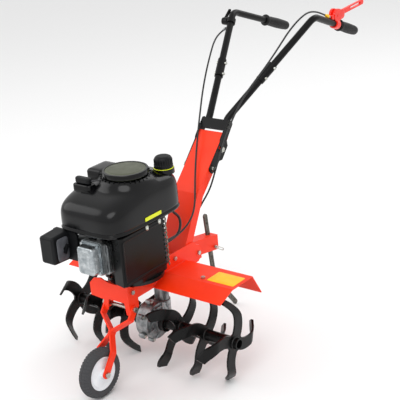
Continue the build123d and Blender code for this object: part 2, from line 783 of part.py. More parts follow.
def make_shroud():
    """Blower shroud: deep rounded cowl with a raised starter boss, a vent box and the filler collar."""
    width, length = shroud_left - shroud_right, shroud_rear - shroud_front
    middle = ((shroud_left + shroud_right) / 2, (shroud_front + shroud_rear) / 2)
    with BuildPart() as shroud:
        with BuildSketch(level(middle, shroud_low)):
            RectangleRounded(width, length, shroud_corner)
        extrude(amount=shroud_top - shroud_low)
        fillet(shroud.faces().sort_by(Axis.Z)[-1].edges(), radius=26)
        with BuildSketch(level((0, crank_y), shroud_top - 10)):
            Circle(88)
        extrude(amount=26)
        with BuildSketch(level((-97, -40), shroud_top - 20)):
            RectangleRounded(62, 84, 8)
        extrude(amount=42)
        fillet(shroud.faces().sort_by(Axis.Z)[-1].edges(), radius=5)
        with BuildSketch(level(cap_place, shroud_top - 20)):
            Circle(cap_r + 2)
        extrude(amount=24)
        with BuildSketch(level(middle, shroud_low)):
            RectangleRounded(width - 2 * shroud_wall, length - 2 * shroud_wall, shroud_corner - shroud_wall)
        extrude(amount=shroud_top - shroud_low - 27, mode=Mode.SUBTRACT)
        with BuildSketch(level(middle, shroud_top - 28)):
            RectangleRounded(width - 40, length - 40, shroud_corner - 14)
        extrude(amount=25, mode=Mode.SUBTRACT)
        with BuildSketch(level(cap_place, shroud_low)):
            Circle(neck_r + hole_play)
        extrude(amount=160, mode=Mode.SUBTRACT)
        with BuildSketch(level((0, crank_y), shroud_low)):
            Circle(starter_r - 8)
        extrude(amount=160, mode=Mode.SUBTRACT)
    return shroud.part


def make_starter_housing():
    """Recoil starter housing: a shallow domed plate with the rope drum's post below."""
    with BuildPart() as housing:
        with BuildSketch(level((0, crank_y), shroud_top + 16)):
            Circle(starter_r)
        extrude(amount=starter_top - shroud_top - 16)
        fillet(housing.faces().sort_by(Axis.Z)[-1].edges(), radius=6)
        with BuildSketch(level((0, crank_y), shroud_top - 22)):
            Circle(starter_r - 8 - hole_play)
            Circle(starter_r - 14, mode=Mode.SUBTRACT)
        extrude(amount=38)
        with BuildSketch(level((0, crank_y), 594)):
            Circle(10)
        extrude(amount=24)
    return housing.part


def make_starter_handle():
    """Pull handle of the recoil starter, resting on the shroud's right-hand shoulder."""
    with BuildPart() as handle:
        with BuildSketch(level((-88, -134), shroud_top + run_gap)):
            SlotOverall(56, 20)
        extrude(amount=18)
        fillet(handle.edges(), radius=5)
    return handle.part


def make_fuel_tank():
    """Fuel tank moulded to sit inside the shroud's rear, with its filler neck."""
    with BuildPart() as tank:
        with BuildSketch(level((14, 56), 500)):
            RectangleRounded(104, 60, 12)
        extrude(amount=70)
        with BuildSketch(level(cap_place, 560)):
            Circle(neck_r)
        extrude(amount=cap_low + 8 - 560)
        with BuildSketch(level((14, 56), 503)):
            RectangleRounded(98, 54, 9)
        extrude(amount=64, mode=Mode.SUBTRACT)
        with BuildSketch(level(cap_place, 560)):
            Circle(neck_r - 4)
        extrude(amount=80, mode=Mode.SUBTRACT)
        for x in (-26, 30):
            with BuildSketch(level((x, 88), 540)):
                Rectangle(12, 8)
            extrude(amount=10)
    return tank.part


def make_fuel_cap():
    """Domed filler cap with grip ribs and a skirt over the neck."""
    with BuildPart() as cap:
        with BuildSketch(level(cap_place, cap_low)):
            Circle(cap_r - 1)
        extrude(amount=cap_top - cap_low)
        fillet(cap.faces().sort_by(Axis.Z)[-1].edges(), radius=12)
        with Locations(Plane(origin=(cap_place[0], cap_place[1], cap_low + 9))):
            with PolarLocations(cap_r - 1, 18):
                Cylinder(1.6, 18)
        with BuildSketch(level(cap_place, cap_low)):
            Circle(neck_r + run_gap)
        extrude(amount=12, mode=Mode.SUBTRACT)
    return cap.part


def make_carburettor():
    """Carburettor body on the cylinder's right side, with its bowl and intake stub."""
    with BuildPart() as body:
        with BuildSketch(across(-fin_half - 44, (-176, 440))):
            RectangleRounded(36, 40, 6)
        extrude(amount=44)
        with BuildSketch(level((-fin_half - 22, -176), 396)):
            Circle(17)
        extrude(amount=30)
        with BuildSketch(Plane.XZ.offset(194)):
            with Locations((-fin_half - 26, 440)):
                Circle(14)
        extrude(amount=16)
    return body.part


def make_air_cleaner_base():
    """Air cleaner's back plate, which carries the cover and meets the intake stub."""
    with BuildPart() as base:
        with BuildSketch(Plane.XZ.offset(210)):
            with Locations((-104, 442)):
                RectangleRounded(94, 88, 12)
        extrude(amount=8)
    return base.part


def make_air_cleaner_cover():
    """Air cleaner cover: a deep rounded box with the hollow for its element."""
    with BuildPart() as cover:
        with BuildSketch(Plane.XZ.offset(218)):
            with Locations((-118, 442)):
                RectangleRounded(60, 88, 12)
        extrude(amount=62, taper=3)
        fillet(cover.faces().sort_by(Axis.Y)[0].edges(), radius=8)
        with BuildSketch(Plane.XZ.offset(218)):
            with Locations((-118, 442)):
                RectangleRounded(50, 78, 9)
        extrude(amount=52, taper=3, mode=Mode.SUBTRACT)
        with BuildSketch(across(-93, (-240, 442))):
            Circle(6)
        extrude(amount=11)
        with BuildSketch(across(-84, (-240, 442))):
            SlotOverall(28, 8, rotation=60)
        extrude(amount=7)
    return cover.part


def make_spark_plug():
    """Spark plug and its boot, slanting out of the head's top."""
    with BuildPart() as plug:
        with BuildSketch(level((24, -212), cylinder_z + 53)):
            RegularPolygon(9, 6)
        extrude(amount=6)
        with BuildSketch(level((24, -212), cylinder_z + 59)):
            Circle(6.5)
        extrude(amount=30)
        fillet(plug.faces().sort_by(Axis.Z)[-1].edges(), radius=3)
    return plug.part


# ======== tines ========
def tine_arm():
    """One arm along +Y: a flat sickle whose end bends towards the gearbox."""
    tip = (tine_reach * cos(radians(tine_tip_angle)), tine_reach * sin(radians(tine_tip_angle)))
    with BuildPart() as arm:
        with BuildSketch(Plane.XY.offset(-80)):
            with BuildLine():
                route = FilletPolyline((0, 0), (0, 92), (-46, 136), radius=32)
                offset(amount=tine_sheet / 2, side=Side.BOTH, kind=Kind.INTERSECTION)
            make_face()
        extrude(amount=160)
        with BuildSketch(Plane(origin=(-70, 0, 0), x_dir=(0, 1, 0), z_dir=(1, 0, 0))):
            with BuildLine():
                ThreePointArc((8, -19), (78, -19), tip)
                Line(tip, (112, 47))
                ThreePointArc((112, 47), (76, 15), (8, 22))
                Line((8, 22), (8, -19))
            make_face()
        extrude(amount=90, mode=Mode.INTERSECT)
    return arm.part


def make_star(x, phase):
    """A four-armed tine star for the machine's left, welded round its hub tube."""
    arm = tine_arm()
    with BuildPart() as star:
        with BuildSketch(across(-tine_sheet / 2, (0, 0))):
            Circle(30)
        extrude(amount=tine_sheet)
        for quarter in range(4):
            add(arm.rotate(Axis.X, 90 * quarter - 90 - tine_tip_angle + phase))
        with BuildSketch(across(-40, (0, 0))):
            Circle(hub_r)
        extrude(amount=80, mode=Mode.SUBTRACT)
    return star.part.moved(Location((x, 0, axle_z)))


def make_hub():
    """Left hub tube: a guard collar and a pin hole at its gearbox end, a wider bore at its open end."""
    with BuildPart() as hub:
        with BuildSketch(across(hub_inner, (0, axle_z))):
            Circle(hub_r)
        extrude(amount=hub_outer - hub_inner)
        with BuildSketch(across(hub_inner, (0, axle_z))):
            Circle(27)
        extrude(amount=14)
        chamfer(hub.edges().filter_by(GeomType.CIRCLE).sort_by(Axis.X)[2:4], length=1)
        with BuildSketch(across(hub_inner, (0, axle_z))):
            Circle(tine_shaft_r + run_fit)
        extrude(amount=hub_outer - hub_inner, mode=Mode.SUBTRACT)
        with BuildSketch(across(tine_shaft_half + extension_gap, (0, axle_z))):
            Circle(extension_r)
        extrude(amount=hub_outer - tine_shaft_half - extension_gap, mode=Mode.SUBTRACT)
        with BuildSketch(level((hub_pin_x, 0), axle_z - 30)):
            Circle(hub_pin_r + run_fit)
        extrude(amount=60, mode=Mode.SUBTRACT)
    return hub.part


def make_hub_pins():
    """Clevis pins through the hubs and the shaft."""
    with BuildPart() as pins:
        for x in (-hub_pin_x, hub_pin_x):
            add(disc(level((x, 0), axle_z - hub_r - 6), hub_pin_r, 2 * hub_r + 8))
            add(disc(level((x, 0), axle_z + hub_r + 0.2), hub_pin_r + 2.5, 4))
    return pins.part


# ======== front wheel ========
def make_tyre():
    """Small solid rubber tyre with a rounded crown."""
    with BuildPart() as tyre:
        with BuildSketch(Plane(origin=(0, *wheel_place), x_dir=(1, 0, 0), z_dir=(0, -1, 0))):
            with BuildLine():
                Polyline((-13, bead_r), (-tyre_half, bead_r + 5), (-tyre_half, tyre_r - 8))
                ThreePointArc((-tyre_half, tyre_r - 8), (0, tyre_r), (tyre_half, tyre_r - 8))
                Polyline((tyre_half, tyre_r - 8), (tyre_half, bead_r + 5), (13, bead_r), (-13, bead_r))
            make_face()
        revolve(axis=Axis((0, *wheel_place), (1, 0, 0)))
    return tyre.part


def make_wheel_disc():
    """Moulded wheel disc with a dished web and a long hub."""
    with BuildPart() as wheel:
        with BuildSketch(Plane(origin=(0, *wheel_place), x_dir=(1, 0, 0), z_dir=(0, -1, 0))):
            with BuildLine():
                Polyline((-14, bead_r), (-14, bead_r - 5), (-5, bead_r - 9), (-11, wheel_hub_r),
                         (-wheel_hub_half, wheel_hub_r), (-wheel_hub_half, pin_r + run_fit),
                         (wheel_hub_half, pin_r + run_fit), (wheel_hub_half, wheel_hub_r),
                         (15, wheel_hub_r), (11, bead_r - 9), (14, bead_r - 5), (14, bead_r), close=True)
            make_face()
        revolve(axis=Axis((0, *wheel_place), (1, 0, 0)))
    return wheel.part


def fork_frame():
    """The fork's length and its plane, whose +Y runs from the wheel's axle to the pivot."""
    dy, dz = fork_pivot[0] - wheel_place[0], fork_pivot[1] - wheel_place[1]
    length = hypot(dy, dz)
    plane = Plane(origin=(0, *wheel_place), x_dir=(1, 0, 0), z_dir=(0, -dz / length, dy / length))
    return length, plane


def make_fork():
    """Two bent bars welded together at their waist, astride the wheel and astride the ears."""
    length, plane = fork_frame()
    low_x = wheel_hub_half + run_gap + fork_sheet / 2
    high_x = frame_half + sheet + run_gap + fork_sheet / 2
    route = [(low_x, -20), (low_x, 66), (fork_sheet / 2, 112), (fork_sheet / 2, 124),
             (high_x, length - 34), (high_x, length + 20)]
    middle = plane.origin + plane.y_dir * (length / 2)
    with BuildPart() as fork:
        with BuildSketch(plane):
            with BuildLine():
                Polyline(*route)
                offset(amount=fork_sheet / 2, side=Side.BOTH, kind=Kind.INTERSECTION)
            make_face()
            mirror(about=Plane.YZ)
        extrude(amount=fork_bar, both=True)
        with BuildSketch(Plane(origin=middle - Vector(80, 0, 0), x_dir=plane.y_dir, z_dir=(1, 0, 0))):
            SlotCenterToCenter(length, fork_bar)
        extrude(amount=160, mode=Mode.INTERSECT)
        for place in (wheel_place, fork_pivot):
            with BuildSketch(across(-80, place)):
                Circle(pin_r + run_fit)
            extrude(amount=160, mode=Mode.SUBTRACT)
    return fork.part


def make_fork_bolts():
    """The wheel's axle bolt and the fork's pivot bolt."""
    axle_grip = 2 * (wheel_hub_half + run_gap + fork_sheet)
    pivot_grip = 2 * (frame_half + sheet + run_gap + fork_sheet)
    with BuildPart() as bolts:
        add(hex_bolt(across(axle_grip / 2, wheel_place), pin_r, axle_grip))
        add(hex_bolt(across(pivot_grip / 2, fork_pivot), pin_r, pivot_grip))
    return bolts.part


# ======== handlebars ========
def bracket_at(distance, across_line):
    """A point along the bracket's cheeks from the tilt pivot and across them, in the side view."""
    reach = hypot(*cheek_run)
    run_y, run_z = cheek_run[0] / reach, cheek_run[1] / reach
    return (tilt_pivot[0] + distance * run_y + across_line * run_z,
            tilt_pivot[1] + distance * run_z - across_line * run_y)


def foot_bolts():
    """The bolts that hold each tube's foot between the bracket's cheeks, in the side view."""
    run = (tube_splay[1] - tube_foot[1], tube_splay[2] - tube_foot[2])
    return [(tube_foot[1] + share * run[0], tube_foot[2] + share * run[1]) for share in (0.22, 0.58)]


def make_handle_bracket():
    """Clamp bracket: two cheeks outside the column and a crossbar over its end."""
    inner = column_half + run_gap
    reach = hypot(tilt_lock[0] - tilt_pivot[0], tilt_lock[1] - tilt_pivot[1])
    bearing = degrees(atan2(tilt_lock[1] - tilt_pivot[1], tilt_lock[0] - tilt_pivot[0]))
    outline = [bracket_at(*corner) for corner in (
        (-14, -7), (-14, 8), (-5, 15), (34, 19), (44, 31), (92, 31), (104, 17), (cheek_end - 5, 15),
        (cheek_end, 10), (cheek_end, -9), (cheek_end - 7, -15), (92, -15), (84, -11), (-7, -14))]
    crossbar = [bracket_at(*corner) for corner in ((122, -15), (158, -15), (158, -12), (122, -12))]
    slot_ends = [radians(bearing + turn) for turn in (-tilt_swing - 0.6, 0, tilt_swing + 0.6)]
    slot_arc = [(reach * cos(angle), reach * sin(angle)) for angle in slot_ends]
    with BuildPart() as bracket:
        extrude(side_outline(inner, outline), amount=sheet)
        extrude(side_outline(-inner - sheet, outline), amount=sheet)
        extrude(side_outline(0, crossbar), amount=inner + sheet, both=True)
        with BuildSketch(across(-80, tilt_pivot)):
            Circle(pin_r + run_fit)
            with BuildLine():
                ThreePointArc(*slot_arc)
            trace(line_width=2 * (pin_r + hole_play))
            with Locations(slot_arc[0], slot_arc[2]):
                Circle(pin_r + hole_play)
        extrude(amount=160, mode=Mode.SUBTRACT)
        for place in foot_bolts():
            with BuildSketch(across(-80, place)):
                Circle(3 + hole_play)
            extrude(amount=160, mode=Mode.SUBTRACT)
    return bracket.part


def make_handle_bolts():
    """The bracket's pivot bolt, the tubes' foot bolts, and the saddle bolts through both sleeves."""
    wall = column_half + run_gap + sheet
    start = along(tube_splay, tube_corner, sleeve_start)
    stop = along(tube_splay, tube_corner, sleeve_end)
    with BuildPart() as saddles:
        for share in (sleeve_start + 0.03, sleeve_end - 0.03):
            x, y, z = along(tube_splay, tube_corner, share)
            add(hex_bolt(across(x + sleeve_r, (y, z)), 3.0, 2 * sleeve_r))
        add(straight_tube(start, stop, sleeve_r + 0.02, 0), mode=Mode.SUBTRACT)
        for share in (sleeve_start + 0.03, sleeve_end - 0.03):
            x, y, z = along(tube_splay, tube_corner, share)
            add(disc(across(x - sleeve_r - 2, (y, z)), 3.0, 2 * sleeve_r + 4))
    with BuildPart() as bolts:
        add(hex_bolt(across(wall, tilt_pivot), pin_r, 2 * wall))
        for place in foot_bolts():
            bolt = hex_bolt(across(wall, place), 3.0, wall - tube_foot[0] + tube_r + 0.2)
            add(bolt)
            add(mirrored(bolt))
        add(saddles.part)
        add(mirrored(saddles.part))
    return bolts.part


def tube_solid(points, radii, outer, inner):
    """A round tube along straight runs joined by arcs."""
    with BuildPart() as tube:
        with BuildLine() as route:
            FilletPolyline(*points, radius=radii)
        with BuildSketch(Plane(origin=route.line @ 0, z_dir=route.line % 0)):
            Circle(outer)
            Circle(inner, mode=Mode.SUBTRACT)
        sweep()
    return tube.part


def straight_tube(start, end, outer, inner):
    """A straight round tube between two points, or a bar where its inner radius is nought."""
    run = Vector(*end) - Vector(*start)
    plane = Plane(origin=start, z_dir=run.normalized())
    if inner == 0:
        return disc(plane, outer, run.length)
    return ring(plane, outer, inner, run.length)


def make_handle_tubes():
    """Lower tubes, and upper tubes whose swaged ends slip over them."""
    start = along(tube_splay, tube_corner, sleeve_start)
    stop = along(tube_splay, tube_corner, sleeve_end)
    lower_end = along(tube_splay, tube_corner, sleeve_end - 0.01)
    lower = tube_solid([tube_foot, tube_splay, lower_end], 45, tube_r, tube_r - tube_wall)
    sleeve = straight_tube(start, stop, sleeve_r, tube_r)
    upper = tube_solid([stop, tube_corner, tube_end], 38, tube_r, tube_r - tube_wall)
    with BuildPart() as tubes:
        for piece in (lower, sleeve, upper):
            add(piece)
            add(mirrored(piece))
        for share in (sleeve_start + 0.03, sleeve_end - 0.03):
            x, y, z = along(tube_splay, tube_corner, share)
            with BuildSketch(across(-x - 40, (y, z))):
                Circle(3 + run_fit)
            extrude(amount=2 * x + 80, mode=Mode.SUBTRACT)
        for place in foot_bolts():
            with BuildSketch(across(-80, place)):
                Circle(3 + run_fit)
            extrude(amount=160, mode=Mode.SUBTRACT)
    return tubes.part


def make_grips():
    """Moulded grips with a hand stop and a closed, rounded end."""
    run = Vector(*tube_end) - Vector(*tube_corner)
    unit = run.normalized()
    start = Vector(*tube_end) - unit * (grip_length - 5)
    plane = Plane(origin=start, z_dir=unit)
    with BuildPart() as grip:
        with BuildSketch(plane):
            Circle(grip_r)
        extrude(amount=grip_length)
        fillet(grip.edges().filter_by(GeomType.CIRCLE).sort_by(Axis.Y)[-1], radius=8)
        with BuildSketch(plane):
            Circle(grip_r + 4)
        extrude(amount=5)
        for step in range(5):
            with BuildSketch(plane.offset(18 + 22 * step)):
                Circle(grip_r + 1)
            extrude(amount=14)
        with BuildSketch(plane):
            Circle(tube_r)
        extrude(amount=grip_length - 5, mode=Mode.SUBTRACT)
    with BuildPart() as grips:
        add(grip.part)
        add(mirrored(grip.part))
    return grips.part


def tube_at(y):
    """The point on the left upper tube's grip run at a given y."""
    return along(tube_corner, tube_end, (y - tube_corner[1]) / (tube_end[1] - tube_corner[1]))


def make_clutch_perch():
    """Clamp and round housing that carry the clutch lever."""
    seat = tube_at(lever_pivot[0] - 2)
    run = (Vector(*tube_end) - Vector(*tube_corner)).normalized()
    with BuildPart() as perch:
        with BuildSketch(Plane(origin=Vector(*seat) - run * 12, z_dir=run)):
            Circle(tube_r + 5)
        extrude(amount=24)
        with BuildSketch(across(lever_x - 12, lever_pivot)):
            Circle(22)
        extrude(amount=24)
        with BuildSketch(across(lever_x - 10, (lever_pivot[0] - 20, lever_pivot[1] - 1))):
            RectangleRounded(30, 14, 4)
        extrude(amount=20)
        with BuildSketch(across(lever_x - 10, (seat[1], seat[2] + 15))):
            Rectangle(30, 10)
        extrude(amount=20)
        with BuildSketch(across(lever_x - 4.6, lever_pivot)):
            Circle(23)
        extrude(amount=9.2, mode=Mode.SUBTRACT)
        with BuildSketch(Plane(origin=Vector(*seat) - run * 40, z_dir=run)):
            Circle(tube_r)
        extrude(amount=80, mode=Mode.SUBTRACT)
        with BuildSketch(across(lever_x - 20, lever_pivot)):
            Circle(4 + run_fit)
        extrude(amount=40, mode=Mode.SUBTRACT)
    return perch.part


def make_clutch_lever():
    """Clutch lever with its round boss, pivot pin and finger loop."""
    dy, dz = lever_tip[0] - lever_pivot[0], lever_tip[1] - lever_pivot[1]
    length = hypot(dy, dz)
    lean = degrees(atan2(dz, dy))
    middle = (lever_pivot[0] + dy / 2 + 4, lever_pivot[1] + dz / 2)
    loop = (lever_pivot[0] + dy * 0.72, lever_pivot[1] + dz * 0.72)
    with BuildPart() as lever:
        with BuildSketch(across(lever_x - 4, lever_pivot)):
            Circle(14)
        with BuildSketch(across(lever_x - 4, middle)):
            SlotOverall(length, 16, rotation=lean)
        extrude(amount=8)
        with BuildSketch(across(lever_x - 4, loop)):
            SlotOverall(70, 7, rotation=lean)
        extrude(amount=8, mode=Mode.SUBTRACT)
        with BuildSketch(across(lever_x - 13, lever_pivot)):
            Circle(4)
        extrude(amount=26)
    return lever.part


def throttle_seat():
    """Where the throttle's clamp sits on the right upper tube."""
    x, y, z = along(tube_splay, tube_corner, throttle_share)
    return (-x, y, z)


def make_throttle_clamp():
    """Clamp that carries the throttle lever and its cable on the right tube."""
    seat = Vector(*throttle_seat())
    run = Vector(-tube_corner[0], *tube_corner[1:]) - Vector(-tube_splay[0], *tube_splay[1:])
    unit = run.normalized()
    with BuildPart() as clamp:
        with BuildSketch(Plane(origin=seat - unit * 9, z_dir=unit)):
            Circle(tube_r + 4)
        extrude(amount=18)
        with BuildSketch(across(seat.X - tube_r - 14, (seat.Y, seat.Z))):
            Circle(13)
        extrude(amount=14)
        with BuildSketch(across(seat.X - tube_r - 14, (seat.Y, seat.Z))):
            Circle(3 + run_fit)
        extrude(amount=12, mode=Mode.SUBTRACT)
        with BuildSketch(Plane(origin=seat - unit * 40, z_dir=unit)):
            Circle(tube_r)
        extrude(amount=80, mode=Mode.SUBTRACT)
    return clamp.part


def make_throttle_lever():
    """Thumb lever of the throttle, turning on the clamp's outer face."""
    seat = throttle_seat()
    face = seat[0] - tube_r - 14
    with BuildPart() as lever:
        with BuildSketch(across(face - 6 - run_gap, (seat[1], seat[2]))):
            Circle(12)
        extrude(amount=6)
        with BuildSketch(across(face - 6 - run_gap, (seat[1] + 18, seat[2] + 14))):
            SlotOverall(56, 10, rotation=38)
        extrude(amount=5)
        with BuildSketch(across(face - run_gap, (seat[1], seat[2]))):
            Circle(3)
        extrude(amount=11)
    return lever.part


clutch_route = [
    (148, 831.5, 890), (148.5, 800, 904), (150, 750, 924), (150, 700, 933), (147, 650, 920), (140, 600, 892),
    (128, 560, 852), (110, 520, 806), (94, 480, 768), (80, 440, 732), (70, 400, 690), (63, 352, 632),
    (61, 310, 574), (59, 275, 514), (52, 256, 470), (36, 228, 428), (23, 196, 384), (21, 160, 346),
    (22, 134, 318), (22, 124, 297), (22, 112, 288),
]
throttle_route = [
    (-158, 672, 866), (-160, 640, 858), (-148, 592, 842), (-126, 538, 812), (-104, 480, 768),
    (-84, 428, 716), (-66, 386, 664), (-46, 352, 646), (-28, 316, 610), (-8, 276, 562), (14, 238, 520),
    (36, 204, 486), (50, 182, 452), (56, 158, 420), (56, 124, 398), (54, 84, 386), (52, 54, 380),
    (50, 23, 378),
]
hose_route = [(56, 66, 500), (56, 66, 469.5), (59, 99.6, 435.9), (63, 81.4, 392), (62, 23, 392)]


# ======== drag stake ========
def make_stake():
    """Flat drag stake with its row of height holes and a raked lower end."""
    run_y, run_z = stake_line()
    half = stake_half_y
    with BuildPart() as stake:
        with BuildSketch(across(-stake_half_x, (0, 0))):
            with BuildLine():
                FilletPolyline(stake_top, stake_knee, stake_shin, stake_toe, radius=30)
                offset(amount=half, side=Side.BOTH, kind=Kind.INTERSECTION)
            make_face()
        extrude(amount=2 * stake_half_x)
        for step in range(-3, 5):
            pin = stake_pin_place()
            place = (pin[0] + 20 * step * run_y, pin[1] + 20 * step * run_z)
            with BuildSketch(across(-20, place)):
                Circle(3 + run_fit)
            extrude(amount=40, mode=Mode.SUBTRACT)
    return stake.part


def make_stake_pin():
    """Clevis pin with a hairpin clip through its end."""
    place = stake_pin_place()
    with BuildPart() as pin:
        with BuildSketch(across(-socket_half - 12, place)):
            Circle(3)
        extrude(amount=2 * socket_half + 24)
        with BuildSketch(across(-socket_half - 12, place)):
            Circle(6)
        extrude(amount=3)
        with BuildSketch(across(socket_half + 5, (place[0] + 16, place[1] - 10))):
            SlotOverall(52, 9, rotation=-32)
            SlotOverall(47, 4, rotation=-32, mode=Mode.SUBTRACT)
        extrude(amount=2.5)
        with BuildSketch(across(socket_half + 4, place)):
            Circle(5)
        extrude(amount=4)
    return pin.part


save(make_deck(), "deck")
save(make_front_plate(), "front_plate")
save(make_column(), "steering_column")
cheek = make_side_plates()
with BuildPart() as cheeks:
    add(cheek)
    add(mirrored(cheek))
save(cheeks.part, "side_plates")
fender = make_fender()
save(fender, "fender_left")
save(mirrored(fender), "fender_right")
save(make_stake_socket(), "stake_socket")
save(make_frame_bolts(), "frame_bolts")

gearbox_half = make_gearbox_half()
save(gearbox_half, "gearbox_left_half")
save(mirrored(gearbox_half), "gearbox_right_half")
save(make_gearbox_bearings(), "gearbox_bearings")
save(make_worm(), "worm_shaft")
save(make_worm_wheel(), "worm_wheel")
save(make_tine_shaft(), "tine_shaft")
save(make_pulley((0, worm_y), driven_r, worm_shaft_r), "driven_pulley")
save(make_pulley((0, crank_y), drive_r, crank_r), "drive_pulley")
save(make_belt(), "drive_belt")
save(make_idler_arm(), "idler_arm")
save(ring(level(idler_place, belt_z - 4), idler_r, 3 + run_fit, 8), "idler_pulley")

save(make_crankshaft(), "crankshaft")
save(make_flywheel(), "flywheel")
save(make_crankcase(), "crankcase")
save(make_cylinder(), "cylinder")
save(make_valve_cover(), "valve_cover")
save(make_muffler(), "muffler")
save(make_muffler_guard(), "muffler_guard")
save(make_shroud(), "shroud")
save(make_starter_housing(), "starter_housing")
save(make_starter_handle(), "starter_handle")
save(make_fuel_tank(), "fuel_tank")
save(make_fuel_cap(), "fuel_cap")
save(make_carburettor(), "carburettor")
save(make_air_cleaner_base(), "air_cleaner_base")
save(make_air_cleaner_cover(), "air_cleaner_cover")
save(make_spark_plug(), "spark_plug")
save(cable(hose_route, 4.0), "breather_hose")

hub = make_hub()
save(hub, "hub_left")
save(mirrored(hub), "hub_right")
for name, x, left_phase, right_phase in zip(("inner", "middle", "outer"), star_x, star_phase_left,
                                            star_phase_right):
    save(make_star(x, left_phase), f"tine_star_left_{name}")
    save(mirrored(make_star(x, right_phase)), f"tine_star_right_{name}")
save(make_hub_pins(), "hub_pins")

save(make_tyre(), "tyre")
save(make_wheel_disc(), "wheel_disc")
save(make_fork(), "wheel_fork")
save(make_fork_bolts(), "fork_bolts")

save(make_handle_bracket(), "handle_bracket")
save(make_handle_bolts(), "handle_bolts")
save(make_handle_tubes(), "handle_tubes")
save(make_grips(), "grips")
with BuildPart() as clamps:
    add(make_clutch_perch())
    add(make_throttle_clamp())
save(clamps.part, "lever_clamps")
save(make_clutch_lever(), "clutch_lever")
save(make_throttle_lever(), "throttle_lever")
save(cable(clutch_route, cable_r), "clutch_cable")
save(cable(throttle_route, cable_r), "throttle_cable")

save(make_stake(), "drag_stake")
save(make_stake_pin(), "stake_pin")
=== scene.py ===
"""Finishes, moulded covers, cables and trim for a petrol front-tine tiller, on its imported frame.

Lengths in the classes are millimetres in the machine's frame: +X is its left, -Y is forward and +Z is up.
Positions along Y are measured from the tine axle, as a fitter would, and place() turns both into metres.
"""
import logging
import math
from dataclasses import dataclass, field
from enum import Enum

import bpy
import numpy as np
from mathutils import Matrix, Vector


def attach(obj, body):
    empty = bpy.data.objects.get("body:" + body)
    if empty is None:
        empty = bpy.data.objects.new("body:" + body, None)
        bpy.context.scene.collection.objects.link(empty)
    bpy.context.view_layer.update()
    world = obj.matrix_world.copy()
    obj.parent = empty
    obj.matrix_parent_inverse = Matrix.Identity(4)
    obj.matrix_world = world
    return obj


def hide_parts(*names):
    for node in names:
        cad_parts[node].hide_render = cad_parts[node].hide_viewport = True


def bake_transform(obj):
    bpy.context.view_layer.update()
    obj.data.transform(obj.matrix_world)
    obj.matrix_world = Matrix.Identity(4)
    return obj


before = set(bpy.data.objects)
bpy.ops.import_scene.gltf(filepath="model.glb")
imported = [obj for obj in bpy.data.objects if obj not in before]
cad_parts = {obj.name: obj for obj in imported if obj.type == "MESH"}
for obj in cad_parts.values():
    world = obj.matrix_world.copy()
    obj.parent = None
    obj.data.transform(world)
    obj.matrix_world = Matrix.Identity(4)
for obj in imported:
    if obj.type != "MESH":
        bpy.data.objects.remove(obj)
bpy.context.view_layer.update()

log = logging.getLogger("tiller")
AXLE_Y = -362.3


class Side(Enum):
    """The machine's two sides, as the sign of X."""

    LEFT = 1
    RIGHT = -1


# ---------------------------------------------------------------- positions and colours
def place(points: np.ndarray) -> np.ndarray:
    """Turn positions in millimetres from the tine axle into metres in the machine's frame.

    Args:
        points: positions, with x, y and z in the last axis.

    Returns:
        The same array of positions in metres.
    """
    return (np.asarray(points, float) + np.array([0.0, AXLE_Y, 0.0])) / 1000.0


def linear(code: str) -> tuple[float, float, float, float]:
    """Turn an sRGB hex colour into the linear values that a shader takes.

    Args:
        code: six hex digits, red first.

    Returns:
        Linear red, green, blue and an alpha of one.
    """
    srgb = np.array([int(code[i:i + 2], 16) for i in (0, 2, 4)]) / 255.0
    value = np.where(srgb <= 0.04045, srgb / 12.92, ((srgb + 0.055) / 1.055) ** 2.4)
    return (*[float(c) for c in value], 1.0)


def add_node(tree: bpy.types.NodeTree, kind: str, inputs: dict | None = None, **settings) -> bpy.types.Node:
    """Add one shader node with its settings, values and links.

    Args:
        tree: the material's node tree.
        kind: the node's type name without its ShaderNode prefix.
        inputs: input name or number to a value, or to the output socket that feeds it.
        settings: properties of the node itself.

    Returns:
        The new node.
    """
    made = tree.nodes.new("ShaderNode" + kind)
    for key, value in settings.items():
        setattr(made, key, value)
    for key, value in (inputs or {}).items():
        if isinstance(value, bpy.types.NodeSocket):
            tree.links.new(value, made.inputs[key])
        else:
            made.inputs[key].default_value = value
    return made


